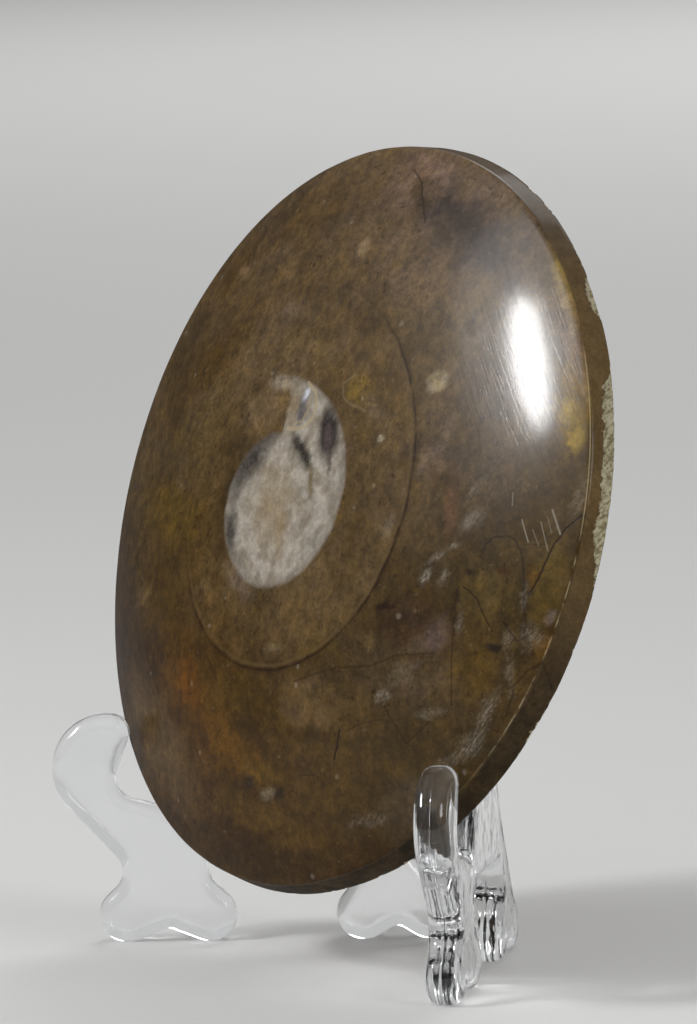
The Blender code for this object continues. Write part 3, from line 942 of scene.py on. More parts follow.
class StonePaint:
    """Lays the stone's colours, wear and relief over each other in one node tree.

    Nodes are made in the order of their links, which keeps the shader within what the
    renderer can hold at once.

    Attributes:
        sheet: The stone's node tree.
        effects: The shared groups.
        finish: The finish that is built.
        position: Face position in millimetres, and across, depth and up its parts.
        front: 1 on the polished face.
        back: 1 on the sawn back.
        grain: Fine noise.
        lumps: Noise of a few millimetres.
        blots: Three noises of about a millimetre.
        chipped: Mask of the chips in the rim.
    """

    def __init__(self, sheet: NodeSheet, effects: Effects, finish: StoneFinish) -> None:
        """Make the patterns that everything else reads.

        Args:
            sheet: The stone's node tree.
            effects: The shared groups.
            finish: The finish to build.
        """
        self.sheet, self.effects, self.finish = sheet, effects, finish
        table = sheet.node("ShaderNodeTexCoord").outputs["Object"]
        place = sheet.node("ShaderNodeMapping", vector_type="TEXTURE")
        sheet.feed(place.inputs["Vector"], table)
        place.inputs["Location"].default_value = FACE_MIDDLE + TABLE_SHIFT
        place.inputs["Rotation"].default_value = (-LEAN, 0.0, TURN)
        place.inputs["Scale"].default_value = (MM, MM, MM)
        self.position = place.outputs[0]
        self.across, self.depth, self.up = sheet.split(self.position)
        self.front = sheet.ramp(self.depth, 0.30, 0.05)
        self.back = sheet.ramp(self.depth, 3.44, 3.52)
        self.grain = sheet.noise(self.position, 2.1, 4.0, 0.72, 4.0)
        self.lumps = sheet.noise(self.position, 0.42, 3.0, 0.62, 2.0)
        self.blots = sheet.noise(self.position, 0.95, 2.0, 0.6, 5.0, True)
        jagged = sheet.times_plus(sheet.minus(self.grain, 0.5), 0.8, Field.CHIP.read(sheet))
        self.chipped = sheet.times(sheet.ramp(jagged, -0.12, 0.12), sheet.minus(1.0, self.back))

    def build(self) -> None:
        """Lay everything over each other and end in the shader."""
        sheet = self.sheet
        colour = self.seam_line(self.heart(self.limestone()))
        drawn = self.trembling()
        colour, cut = self.sutures(colour, drawn)
        colour, scuffed = self.wear(colour, drawn)
        colour, rubbed_and_highlit = self.rim_wear_shade_and_highlight(colour)
        colour = sheet.mix(self.back, colour, self.sawn_colour())
        turned, slanted = self.polishing()
        rough, wax = self.gloss(scuffed, rubbed_and_highlit, sheet.larger(turned, slanted))
        normal = self.relief(cut, slanted)
        shader = sheet.node("ShaderNodeBsdfPrincipled")
        sheet.feed(shader.inputs["Base Color"], colour)
        sheet.feed(shader.inputs["Roughness"], rough)
        sheet.feed(shader.inputs["Coat Weight"], wax)
        sheet.feed(shader.inputs["Normal"], normal)
        sheet.feed(shader.inputs["Coat Normal"], normal)
        shader.inputs["IOR"].default_value = 1.45
        shader.inputs["Specular IOR Level"].default_value = self.finish.shine
        shader.inputs["Coat Roughness"].default_value = self.finish.gloss
        shader.inputs["Coat IOR"].default_value = 1.4
        out = sheet.node("ShaderNodeOutputMaterial")
        sheet.feed(out.inputs["Surface"], shader.outputs[0])

    def line(self, position: Feed, trace: Trace) -> Socket:
        """Draw one thin line.

        Args:
            position: Face position in millimetres.
            trace: The line.

        Returns:
            Its mask, from 0 to 1.
        """
        sheet = self.sheet
        nearest = None
        for (u, v), (next_u, next_v) in zip(trace.points, trace.points[1:]):
            ends = {"start": (u, 0.0, v), "end": (next_u, 0.0, next_v)}
            reach = sheet.group(self.effects.reach, position=position, **ends).outputs[0]
            nearest = reach if nearest is None else sheet.math("MINIMUM", nearest, reach)
        return sheet.ramp(nearest, 0.80 * trace.width, 0.15 * trace.width)

    def stained_and_glinted(self, colour: Feed, stain: Field, cover: Field, share: Feed) -> Socket:
        """Lay a stored stain, or the heart's marks with their painted glint, over a colour.

        Args:
            colour: The colour underneath.
            stain: The stain's colour, or the heart's marks with their painted glint, multiplied by its
                cover.
            cover: Its cover.
            share: How much of it shows.

        Returns:
            The colour.
        """
        sheet = self.sheet
        left = sheet.minus(1.0, sheet.times(cover.read(sheet), share))
        added = sheet.scale(stain.read(sheet), share)
        return sheet.shift(sheet.scale(colour, left), added)

    def limestone(self) -> Socket:
        """Mottle the brown stone, stain its face and return the colour."""
        sheet = self.sheet
        cloud = Field.CLOUD.read(sheet)
        colour = sheet.mix(sheet.ramp(cloud, 0.36, 0.62), stone(80, 64, 41), stone(92, 75, 51))
        second = sheet.ramp(Field.SECOND_TURN.read(sheet), -0.35, 0.45, 0.0, 0.30)
        colour = sheet.mix(second, colour, stone(96, 78, 54))
        colour = self.stained_and_glinted(colour, Field.STAIN, Field.STAIN_COVER, sheet.times(self.front, 0.95))
        light, warm, odd = sheet.split(self.blots)
        shade = sheet.ramp(cloud, 0.34, 0.64, 0.86, 1.14)
        shade = sheet.times(shade, sheet.ramp(self.lumps, 0.34, 0.66, 0.80, 1.20))
        shade = sheet.times(shade, sheet.ramp(light, 0.32, 0.68, 0.84, 1.16))
        shade = sheet.times(shade, sheet.ramp(self.grain, 0.30, 0.70, 0.80, 1.20))
        colour = sheet.scale(colour, shade)
        tinge = sheet.minus(sheet.times_plus(warm, 0.5, Field.TINGE.read(sheet)), 0.75)
        tinge = sheet.combine(*(sheet.times_plus(tinge, share, 1.0) for share in (0.16, 0.04, -1.00)))
        colour = sheet.vector("MULTIPLY", colour, tinge)
        colour = sheet.mix(sheet.ramp(odd, 0.37, 0.28, 0.0, 0.50), colour, stone(44, 33, 19))
        return sheet.mix(sheet.ramp(odd, 0.66, 0.76, 0.0, 0.45), colour, stone(116, 99, 74))

    def heart(self, colour: Feed) -> Socket:
        """Fill the first turn of the shell with calcite.

        Args:
            colour: The colour so far.

        Returns:
            The colour.
        """
        sheet = self.sheet
        inner = Field.FIRST_TURN.read(sheet)
        milk = Field.MILK.read(sheet)
        light, _, odd = sheet.split(self.blots)
        calcite = sheet.mix(sheet.ramp(milk, 0.38, 0.60), stone(140, 130, 116), stone(166, 158, 146))
        calcite = sheet.mix(sheet.ramp(inner, 1.6, 0.1, 0.0, 0.45), calcite, stone(112, 103, 92))
        broken = sheet.ramp(sheet.plus(self.grain, light), 1.26, 0.90, 0.87, 1.0)
        # The heart's marks include a painted highlight, the glint on the calcite.
        calcite = self.stained_and_glinted(calcite, Field.HEART, Field.HEART_COVER, broken)
        shade = sheet.ramp(self.grain, 0.32, 0.70, 0.88, 1.13)
        calcite = sheet.scale(calcite, sheet.times(shade, sheet.ramp(odd, 0.34, 0.66, 0.88, 1.10)))
        mask = sheet.times(sheet.ramp(inner, -0.45, 0.40), self.front)
        return sheet.mix(mask, colour, calcite)

    def seam_line(self, colour: Feed) -> Socket:
        """Draw the dark seam round the second turn, with its pale inner lip.

        Args:
            colour: The colour so far.

        Returns:
            The colour.
        """
        sheet = self.sheet
        outer = Field.SECOND_TURN.read(sheet)
        held = sheet.times(Field.SEAM_SHOWN.read(sheet), self.front)
        away = sheet.math("ABSOLUTE", outer)
        halo = sheet.times(sheet.ramp(away, 1.1, 0.1), sheet.times(held, 0.42))
        colour = sheet.mix(halo, colour, stone(56, 42, 24))
        lip = sheet.ramp(sheet.math("ABSOLUTE", sheet.minus(outer, 0.60)), 0.34, 0.08)
        colour = sheet.mix(sheet.times(lip, sheet.times(held, 0.26)), colour, stone(122, 102, 72))
        seam = sheet.times(sheet.ramp(away, 0.26, 0.06), held)
        return sheet.mix(sheet.times(seam, 0.75), colour, stone(*DARK_LINE))

    def trembling(self) -> Socket:
        """Return the face position for lines: a slight tremble, and a slant down the rim."""
        sheet = self.sheet
        tremble = sheet.away(self.blots, (0.5, 0.5, 0.5))
        drawn = sheet.shift(self.position, sheet.scale(tremble, 0.40))
        slid = sheet.times(sheet.larger(self.depth, 0.0), 0.9)
        return sheet.shift(drawn, sheet.combine(0.0, 0.0, slid))

    def sutures(self, colour: Feed, drawn: Feed) -> tuple[Socket, Feed]:
        """Draw the sutures and the cream lines, which run on over the ridge.

        Args:
            colour: The colour so far.
            drawn: The position for lines.

        Returns:
            The colour and how deep the surface is cut.
        """
        sheet = self.sheet
        cut: Feed = 0.0
        for trace in SUTURES + CREAM_LINES:
            mask = self.line(drawn, trace)
            shown = sheet.times(mask, sheet.ramp(self.depth, 3.3, 2.9, 0.0, trace.strength))
            colour = sheet.mix(shown, colour, stone(*trace.colour))
            cut = sheet.larger(cut, shown) if trace.deep else cut
        return colour, cut

    def wear(self, colour: Feed, drawn: Feed) -> tuple[Socket, Socket]:
        """Add scuffs, bright scratches, specks and pits to the face.

        Args:
            colour: The colour so far.
            drawn: The position for lines.

        Returns:
            The colour and the mask of what is scuffed.
        """
        sheet, effects = self.sheet, self.effects
        hair = sheet.turned(self.position, self.finish.scuff_slant)
        hair = sheet.noise(sheet.vector("MULTIPLY", hair, (0.7, 0.0, 5.6)), 1.0, 3.0, 0.7, 23.0)
        scuffed = Field.SCUFF.read(sheet)
        hair = sheet.ramp(sheet.times_plus(hair, 1.5, self.grain), 1.10, 1.60, 0.12, 0.85)
        scuffed = sheet.times(scuffed, hair)
        for trace in BRIGHT_SCRATCHES:
            mask = self.line(self.position, trace)
            scuffed = sheet.larger(scuffed, sheet.times(mask, trace.strength))
        aside = sheet.shift(drawn, (41.0, 0.0, 25.0))
        specks = effects.gritty(sheet, aside, 0.34, 0.14, 0.15)
        scuffed = sheet.larger(scuffed, sheet.times(specks, 0.35))
        scuffed = sheet.times(scuffed, self.front)
        colour = sheet.mix(sheet.times(scuffed, 0.55), colour, stone(*CHALK))
        pits = effects.gritty(sheet, aside, 0.26, 0.14, 0.12)
        pits = sheet.times(pits, sheet.times(self.front, 0.6))
        return sheet.mix(pits, colour, stone(42, 32, 22)), scuffed

    def rim_wear_shade_and_highlight(self, colour: Feed) -> tuple[Socket, Socket]:
        """Rub the ridge pale with a painted highlight along it, paint shade on the rim, darkest towards the
        bottom, and bare the stone in the chips behind it.

        Args:
            colour: The colour so far.

        Returns:
            The colour and the mask of the worn ridge with its painted highlight.
        """
        sheet, depth, up, grain = self.sheet, self.depth, self.up, self.grain
        greyed = sheet.times(sheet.ramp(depth, 0.05, 0.35), sheet.ramp(self.lumps, 0.35, 0.65, 0.45, 0.80))
        # Painted shade: the rim darkens to a deep brown towards the bottom, where it faces away from the
        # light, and is also darker towards the top.
        edge = sheet.mix(sheet.ramp(up, -22.0, 0.0), stone(28, 22, 13), stone(108, 89, 61))
        edge = sheet.mix(sheet.ramp(up, 30.0, 44.0), edge, stone(64, 52, 40))
        edge = sheet.scale(edge, sheet.ramp(grain, 0.30, 0.70, 0.82, 1.20))
        colour = sheet.mix(greyed, colour, edge)
        # Wear and painted highlight: the ridge is painted pale where the light glances off it.
        rubbed_and_highlit = sheet.times(sheet.ramp(sheet.math("ABSOLUTE", depth), 0.09, 0.02), Field.RUB.read(sheet))
        colour = sheet.mix(sheet.times(rubbed_and_highlit, 0.6), colour, stone(176, 162, 130))
        slanted = sheet.combine(sheet.times(depth, 0.5), 0.0, sheet.times_plus(depth, -0.9, up))
        ribs = sheet.noise(slanted, 1.9, 2.0, 0.6, 29.0)
        pale = sheet.ramp(sheet.plus(grain, ribs), 0.80, 1.16)
        raw = sheet.mix(pale, stone(124, 113, 86), stone(186, 178, 150))
        return sheet.mix(self.chipped, colour, raw), sheet.times(rubbed_and_highlit, 0.5)

    def sawn_colour(self) -> Socket:
        """Return the colour of the flat sawn back."""
        sheet = self.sheet
        cloud = sheet.ramp(Field.CLOUD.read(sheet), 0.36, 0.62)
        colour = sheet.mix(cloud, stone(104, 86, 62), stone(124, 106, 82))
        colour = sheet.mix(sheet.ramp(self.lumps, 0.48, 0.66, 0.0, 0.5), colour, stone(140, 124, 100))
        heart = sheet.ramp(Field.FIRST_TURN.read(sheet), -0.6, 0.8, 0.0, 0.55)
        colour = sheet.mix(heart, colour, stone(158, 146, 126))
        ring = sheet.ramp(sheet.math("ABSOLUTE", Field.SECOND_TURN.read(sheet)), 0.6, 0.15, 0.0, 0.5)
        colour = sheet.mix(ring, colour, stone(72, 56, 38))
        return sheet.scale(colour, sheet.ramp(self.grain, 0.30, 0.70, 0.78, 1.22))

    def polishing(self) -> tuple[Socket, Socket]:
        """Make the fine marks of the polishing wheel.

        Returns:
            1 in a mark and 0 beside it, for the marks round the face and the slanting ones.
        """
        sheet = self.sheet
        radius = sheet.vector("LENGTH", sheet.combine(self.across, self.up, 0.0))
        angle = sheet.math("ARCTAN2", self.up, self.across)
        round_face = sheet.combine(radius, sheet.times(angle, 40.0), 0.0)
        first = self.effects.scratched(sheet, round_face, (5.0, 0.10, 0.0), 1.0, 0.75)
        slanted = sheet.turned(self.position, self.finish.wheel_slant)
        return first, self.effects.scratched(sheet, slanted, (0.09, 0.0, 4.0), 2.0, 0.75)

    def gloss(self, scuffed: Feed, rubbed_and_highlit: Feed, grind: Feed) -> tuple[Socket, Socket]:
        """Work out how rough the surface is and how much wax it has.

        Args:
            scuffed: Mask of the scuffs.
            rubbed_and_highlit: Mask of the worn ridge and its painted highlight.
            grind: Polishing marks.

        Returns:
            The roughness and the weight of the wax, which is thinner at the lower left.
        """
        sheet, finish = self.sheet, self.finish
        rim = sheet.ramp(self.depth, 0.10, 0.60, 0.0, 0.55)
        worn = sheet.larger(scuffed, sheet.larger(rubbed_and_highlit, rim))
        dull = sheet.held(sheet.larger(worn, sheet.larger(self.chipped, self.back)))
        rough = sheet.times_plus(self.grain, 0.10, finish.polish - 0.05)
        rough = sheet.times_plus(grind, 0.08, rough)
        rough = sheet.held(sheet.plus(rough, sheet.times(dull, finish.sawn - finish.polish)))
        whole = sheet.minus(1.0, dull)
        slope = sheet.times_plus(self.up, 0.6, self.across)
        wax = sheet.times(whole, sheet.ramp(slope, -40.0, 6.0, 0.25 * finish.wax, finish.wax))
        return rough, sheet.times(wax, sheet.ramp(self.up, -46.0, -16.0, 0.3, 1.0))

    def relief(self, cut: Feed, grind: Feed) -> Socket:
        """Raise and sink the surface.

        Args:
            cut: How deep lines are cut.
            grind: Polishing marks.

        Returns:
            The surface's normal.
        """
        sheet = self.sheet
        arcs = sheet.vector("LENGTH", sheet.shift(self.position, (260.0, 0.0, -40.0)))
        saw = sheet.noise(sheet.combine(arcs, 0.0, 0.0), 1.1, 2.0, 0.6, 20.0)
        height = sheet.times(cut, -0.10)
        height = sheet.times_plus(grind, -0.011, height)
        coarse = sheet.times_plus(self.chipped, 2.2, sheet.times_plus(self.back, 0.35, 0.012))
        height = sheet.times_plus(self.grain, coarse, height)
        height = sheet.times_plus(sheet.times(saw, self.back), 0.5, height)
        return sheet.bump(height)


@dataclass(frozen=True)
class AcrylicFinish:
    """Clear moulded acrylic with handling scratches and a little dust."""

    tint: Rgb = (0.955, 0.965, 0.975)
    dust: Rgb = (0.80, 0.80, 0.78)
    gloss: float = 0.045
    ior: float = 1.49

    def material(self, effects: Effects) -> Material:
        """Build the acrylic.

        Args:
            effects: The shared groups.

        Returns:
            The finished material.
        """
        made = bpy.data.materials.new("moulded_acrylic")
        made.use_nodes = True
        sheet = NodeSheet(made.node_tree)
        table = sheet.node("ShaderNodeTexCoord").outputs["Object"]
        place = sheet.node("ShaderNodeMapping")
        sheet.feed(place.inputs["Vector"], table)
        place.inputs["Scale"].default_value = (1.0 / MM, 1.0 / MM, 1.0 / MM)
        position = place.outputs[0]
        shader = sheet.node("ShaderNodeBsdfPrincipled")
        shader.inputs["Transmission Weight"].default_value = 1.0
        shader.inputs["IOR"].default_value = self.ior
        dust = effects.gritty(sheet, position, 0.9, 0.10, 0.10)
        sheet.feed(shader.inputs["Base Color"], sheet.mix(sheet.times(dust, 0.35), self.tint, self.dust))
        fine = effects.scratched(sheet, position, (1.8, 1.8, 0.16), 3.0, 0.5)
        level = effects.scratched(sheet, position, (0.14, 0.14, 2.6), 4.0, 0.35)
        marks = sheet.larger(fine, level)
        rough = sheet.times_plus(sheet.larger(marks, dust), 0.16, self.gloss)
        sheet.feed(shader.inputs["Roughness"], rough)
        flow = sheet.noise(position, 0.22, 2.0, 0.5, 21.0)
        height = sheet.times_plus(marks, -0.03, sheet.times(flow, 2.2))
        sheet.feed(shader.inputs["Normal"], sheet.bump(height))
        out = sheet.node("ShaderNodeOutputMaterial")
        sheet.feed(out.inputs["Surface"], shader.outputs[0])
        return made


# ---------------------------------------------------------------- meshes


def show(name: str, mesh: Mesh) -> Object:
    """Put a finished mesh into the scene at the origin.

    Args:
        name: Name of the piece.
        mesh: Its mesh, with its place in it.

    Returns:
        The object.
    """
    mesh.name = name
    piece = bpy.data.objects.new(name, mesh)
    bpy.context.scene.collection.objects.link(piece)
    return piece


def plain_mesh(bm: bmesh.types.BMesh, name: str) -> Mesh:
    """Turn a working mesh into a plain one and free it.

    Args:
        bm: The working mesh.
        name: Name of the plain one.

    Returns:
        The plain mesh.
    """
    mesh = bpy.data.meshes.new(name)
    bm.to_mesh(mesh)
    bm.free()
    return mesh


def evaluated(piece: Object) -> Mesh:
    """Return a plain mesh of an object with its modifiers worked into it."""
    bpy.context.view_layer.update()
    return bpy.data.meshes.new_from_object(piece.evaluated_get(bpy.context.evaluated_depsgraph_get()))


def settle(piece: Object) -> Mesh:
    """Turn an object with its modifiers into a plain mesh and delete the object.

    Args:
        piece: The object.

    Returns:
        Its evaluated mesh, turned and placed as the object was.
    """
    mesh = evaluated(piece)
    mesh.transform(piece.matrix_world)
    bpy.data.objects.remove(piece, do_unlink=True)
    return mesh


def face_outwards(mesh: Mesh) -> None:
    """Turn every face of a closed mesh outwards."""
    bm = bmesh.new()
    bm.from_mesh(mesh)
    bmesh.ops.recalc_face_normals(bm, faces=bm.faces)
    bm.to_mesh(mesh)
    bm.free()


def bridge_closed_loops(bm: bmesh.types.BMesh, loops: list[list[bmesh.types.BMVert]]) -> None:
    """Join a run of vertex loops of equal length with quads."""
    for near, far in zip(loops, loops[1:]):
        count = len(near)
        for index in range(count):
            after = (index + 1) % count
            bm.faces.new((near[index], near[after], far[after], far[index]))


def dome_depth(sheet: NodeSheet, takes: dict, share: Feed) -> Socket:
    """Give the dome's depth, below nought, at a share of the edge radius."""
    fall = sheet.minus(sheet.math("POWER", share, takes["Dome Power"]), 1.0)
    return sheet.times(fall, takes["Dome Height"])


@dataclass
class FossilSlice:
    """The slice: domed front, ground rim and flat back, shaped by one rule in Geometry Nodes."""

    ridge_radius: float = 48.5 * MM
    dome_height: float = 8.0 * MM
    dome_power: float = 2.5
    rim_depth: float = 3.6 * MM
    rim_flare: float = 0.7 * MM
    rim_bevel: float = 0.45 * MM
    ridge_round: float = 0.35 * MM
    swell: float = 0.10 * MM
    chip: float = 0.26 * MM
    seed: float = 7.0
    cells: int = 228                 # along each side of the front's grid; four times as many go round
    rows: tuple[int, ...] = (4, 10, 3, 22)       # of faces, in the order of Station
    lumps: tuple[Triple, ...] = (                # waves round the edge, share of the radius, degrees
        (2, 0.0056, 110.0), (3, 0.0079, -8.0), (4, 0.0025, -110.0),
    )

    def sizes(self) -> dict[str, float]:
        """Return the tree's named inputs."""
        return {
            "Ridge Radius": self.ridge_radius, "Dome Height": self.dome_height,
            "Dome Power": self.dome_power, "Rim Depth": self.rim_depth, "Rim Flare": self.rim_flare,
            "Rim Bevel": self.rim_bevel, "Ridge Round": self.ridge_round, "Swell": self.swell,
            "Chip": self.chip, "Seed": self.seed,
        }

    def outline(self, sheet: NodeSheet, angle: Feed) -> Socket:
        """Give the edge radius at an angle, as a part of the mean radius.

        Args:
            sheet: The slice's node tree.
            angle: Angle from U, anticlockwise.

        Returns:
            The share of the radius.
        """
        total: Feed = 1.0
        for lobes, size, phase in self.lumps:
            wave = sheet.math("COSINE", sheet.minus(sheet.times(angle, float(lobes)), math.radians(phase)))
            total = sheet.times_plus(wave, size, total)
        return total

    def front(self, sheet: NodeSheet, takes: dict) -> Socket:
        """Make the domed front from a square grid that is bent into a disc.

        Args:
            sheet: The slice's node tree.
            takes: The tree's inputs.

        Returns:
            The front's geometry.
        """
        grid = sheet.grid(2.0, self.cells, self.cells)
        x, y, _ = sheet.split(sheet.node("GeometryNodeInputPosition").outputs[0])
        wide = sheet.math("GREATER_THAN", sheet.math("ABSOLUTE", x), sheet.math("ABSOLUTE", y))
        flat = sheet.times(sheet.over(y, x), 0.25 * math.pi)
        steep = sheet.times_plus(sheet.over(x, y), -0.25 * math.pi, 0.5 * math.pi)
        bearing = sheet.plus(steep, sheet.times(wide, sheet.minus(flat, steep)))
        reach = sheet.plus(y, sheet.times(wide, sheet.minus(x, y)))
        right = sheet.times(reach, sheet.math("COSINE", bearing))
        above = sheet.times(reach, sheet.math("SINE", bearing))
        edge = sheet.times(takes["Ridge Radius"], self.outline(sheet, sheet.math("ARCTAN2", above, right)))
        cut = sheet.minus(1.0, sheet.over(takes["Ridge Round"], takes["Ridge Radius"]))
        scale = sheet.times(edge, cut)
        depth = dome_depth(sheet, takes, sheet.times(sheet.math("ABSOLUTE", reach), cut))
        moved = sheet.node("GeometryNodeSetPosition")
        sheet.feed(moved.inputs["Geometry"], grid)
        sheet.feed(moved.inputs["Position"], sheet.combine(
            sheet.times(right, scale), depth, sheet.times(above, scale),
        ))
        return moved.outputs[0]

    def strip(self, sheet: NodeSheet, takes: dict, rows: int, station: "Station") -> Socket:
        """Make one ring-shaped part of the skin.

        Args:
            sheet: The slice's node tree.
            takes: The tree's inputs.
            rows: Rows of faces from its inner to its outer edge.
            station: Which part of the skin it is.

        Returns:
            The strip's geometry.
        """
        grid = sheet.grid(1.0, 4 * self.cells, rows)
        x, y, _ = sheet.split(sheet.node("GeometryNodeInputPosition").outputs[0])
        angle = sheet.times(sheet.plus(x, 0.5), 2.0 * math.pi)
        share, widen, depth = station.rule(sheet, takes, sheet.plus(y, 0.5))
        edge = sheet.times(takes["Ridge Radius"], self.outline(sheet, angle))
        radius = sheet.times_plus(edge, share, widen)
        moved = sheet.node("GeometryNodeSetPosition")
        sheet.feed(moved.inputs["Geometry"], grid)
        sheet.feed(moved.inputs["Position"], sheet.combine(
            sheet.times(radius, sheet.math("COSINE", angle)), depth,
            sheet.times(radius, sheet.math("SINE", angle)),
        ))
        return moved.outputs[0]

    def weather(self, sheet: NodeSheet, takes: dict, skin: Feed) -> Socket:
        """Paint the skin, then give it its hand-ground swell and the chips along its back edge.

        Args:
            sheet: The slice's node tree.
            takes: The tree's inputs.
            skin: The closed skin.

        Returns:
            The weathered geometry.
        """
        in_mm = sheet.scale(sheet.node("GeometryNodeInputPosition").outputs[0], 1.0 / MM)
        across, depth, up = sheet.split(in_mm)
        angle = sheet.math("ARCTAN2", up, across)
        radial = sheet.vector("NORMALIZE", sheet.combine(across, 0.0, up))
        radius = sheet.vector("LENGTH", sheet.combine(across, 0.0, up))
        broad = sheet.minus(sheet.noise(in_mm, 0.09, 2.0, 0.5, takes["Seed"]), 0.5)
        swell = sheet.times(broad, 2.0)
        swell = sheet.times(swell, sheet.times(takes["Swell"], sheet.ramp(radius, 40.0, 48.0)))
        jagged = sheet.noise(sheet.vector("MULTIPLY", in_mm, (1.0, 0.4, 1.0)), 0.85, 4.0, 0.7, takes["Seed"])
        large = sheet.times(sheet.ramp(angle, -0.16, 0.04), sheet.ramp(angle, 0.50, 0.38))
        small = sheet.times(sheet.ramp(angle, 0.60, 0.65), sheet.ramp(angle, 0.78, 0.71))
        worn = sheet.ramp(sheet.noise(in_mm, 0.16, 2.0, 0.6, 17.0), 0.42, 0.60, -0.30, 0.35)
        width = sheet.larger(sheet.larger(sheet.times(large, 1.8), sheet.times(small, 1.3)), worn)
        edge = sheet.minus(sheet.over(takes["Rim Depth"], MM), width)
        inside = sheet.minus(sheet.times_plus(sheet.minus(jagged, 0.5), 2.2, depth), edge)
        skin = StoneMap().lay(sheet, Field.CHIP.lay(sheet, skin, inside), in_mm)
        bite = sheet.times(sheet.ramp(inside, -0.05, 0.45), sheet.times_plus(jagged, 1.4, -0.1))
        bite = sheet.times(bite, sheet.ramp(radius, 44.0, 47.0))
        inward = sheet.minus(swell, sheet.times(bite, takes["Chip"]))
        moved = sheet.node("GeometryNodeSetPosition")
        sheet.feed(moved.inputs["Geometry"], skin)
        sheet.feed(moved.inputs["Offset"], sheet.scale(radial, inward))
        return moved.outputs[0]

    def tree(self, material: Material) -> tuple[Tree, dict[str, str]]:
        """Build the tree that shapes the slice.

        Args:
            material: The stone.

        Returns:
            The tree, and the identifier of each named input.
        """
        tree = bpy.data.node_groups.new("slice_form", "GeometryNodeTree")
        tree.interface.new_socket("Geometry", in_out="OUTPUT", socket_type="NodeSocketGeometry")
        named = {}
        for label in self.sizes():
            socket = tree.interface.new_socket(label, in_out="INPUT", socket_type="NodeSocketFloat")
            named[label] = socket.identifier
        sheet = NodeSheet(tree)
        source = sheet.node("NodeGroupInput")
        takes = {label: source.outputs[label] for label in self.sizes()}
        joined = sheet.node("GeometryNodeJoinGeometry")
        sheet.feed(joined.inputs[0], self.front(sheet, takes))
        for rows, station in zip(self.rows, Station):
            sheet.feed(joined.inputs[0], self.strip(sheet, takes, rows, station))
        merged = sheet.node("GeometryNodeMergeByDistance")
        sheet.feed(merged.inputs["Geometry"], joined.outputs[0])
        merged.inputs["Distance"].default_value = 0.003 * MM
        placed = sheet.node("GeometryNodeTransform")
        sheet.feed(placed.inputs["Geometry"], self.weather(sheet, takes, merged.outputs[0]))
        placed.inputs["Translation"].default_value = FACE_MIDDLE + TABLE_SHIFT
        placed.inputs["Rotation"].default_value = (-LEAN, 0.0, TURN)
        smooth = sheet.node("GeometryNodeSetShadeSmooth")
        sheet.feed(smooth.inputs["Geometry"], placed.outputs[0])
        real = sheet.node("GeometryNodeRealizeInstances")
        sheet.feed(real.inputs["Geometry"], smooth.outputs[0])
        dressed = sheet.node("GeometryNodeSetMaterial")
        sheet.feed(dressed.inputs["Geometry"], real.outputs[0])
        dressed.inputs["Material"].default_value = material
        sheet.feed(sheet.node("NodeGroupOutput").inputs[0], dressed.outputs[0])
        return tree, named

    def build(self, material: Material) -> Object:
        """Make the slice.

        Args:
            material: The stone.

        Returns:
            The finished piece.
        """
        blank = bpy.data.objects.new("slice_blank", bpy.data.meshes.new("slice_blank"))
        bpy.context.scene.collection.objects.link(blank)
        tree, named = self.tree(material)
        modifier = blank.modifiers.new("slice_form", "NODES")
        modifier.node_group = tree
        for label, value in self.sizes().items():
            modifier[named[label]] = value
        mesh = settle(blank)
        face_outwards(mesh)
        return show("stone_slice", mesh)


class Station(Enum):
    """The ring-shaped parts of the slice's skin, from the ridge to the middle of the back."""

    RIDGE = "rounded ridge"
    RIM = "ground rim"
    BEVEL = "broken back edge"
    BACK = "sawn back"

    def rule(self, sheet: NodeSheet, takes: dict, along: Feed) -> tuple[Feed, Feed, Feed]:
        """Give the section of one part.

        Args:
            sheet: The slice's node tree.
            takes: The tree's inputs.
            along: 0 at the part's start, 1 at its end.

        Returns:
            The share of the edge radius, what is added to it, and the depth.
        """
        depth, flare = takes["Rim Depth"], takes["Rim Flare"]
        bevel, small = takes["Rim Bevel"], takes["Ridge Round"]
        cut = sheet.minus(1.0, sheet.over(small, takes["Ridge Radius"]))
        slope = sheet.over(flare, depth)
        if self is Station.RIDGE:
            start = dome_depth(sheet, takes, cut)
            share = self.bend(sheet, along, cut, 1.0, 1.0)
            widen = self.bend(sheet, along, 0.0, 0.0, sheet.times(slope, small))
            return share, widen, self.bend(sheet, along, start, 0.0, small)
        if self is Station.RIM:
            end = sheet.minus(depth, bevel)
            back = sheet.times_plus(along, sheet.minus(end, small), small)
            return 1.0, sheet.times(back, slope), back
        last = sheet.minus(depth, bevel)
        inner = sheet.minus(flare, bevel)
        if self is Station.BEVEL:
            widen = self.bend(sheet, along, sheet.times(last, slope), flare, inner)
            return 1.0, widen, self.bend(sheet, along, last, depth, depth)
        left = sheet.minus(1.0, along)
        return left, sheet.times(inner, left), depth

    def bend(self, sheet: NodeSheet, along: Feed, start: Feed, corner: Feed, end: Feed) -> Socket:
        """Round a corner.

        Args:
            sheet: The slice's node tree.
            along: 0 at the start, 1 at the end.
            start: The value at the start.
            corner: The value at the sharp corner.
            end: The value at the end.

        Returns:
            The value on the curve between them.
        """
        left = sheet.minus(1.0, along)
        first = sheet.times(sheet.times(left, left), start)
        second = sheet.times(sheet.times(sheet.times(left, along), 2.0), corner)
        third = sheet.times(sheet.times(along, along), end)
        return sheet.plus(sheet.plus(first, second), third)


Circle = tuple[float, float, float, int]


class Side(Enum):
    """The two legs of the easel."""

    LEFT = -1
    RIGHT = 1


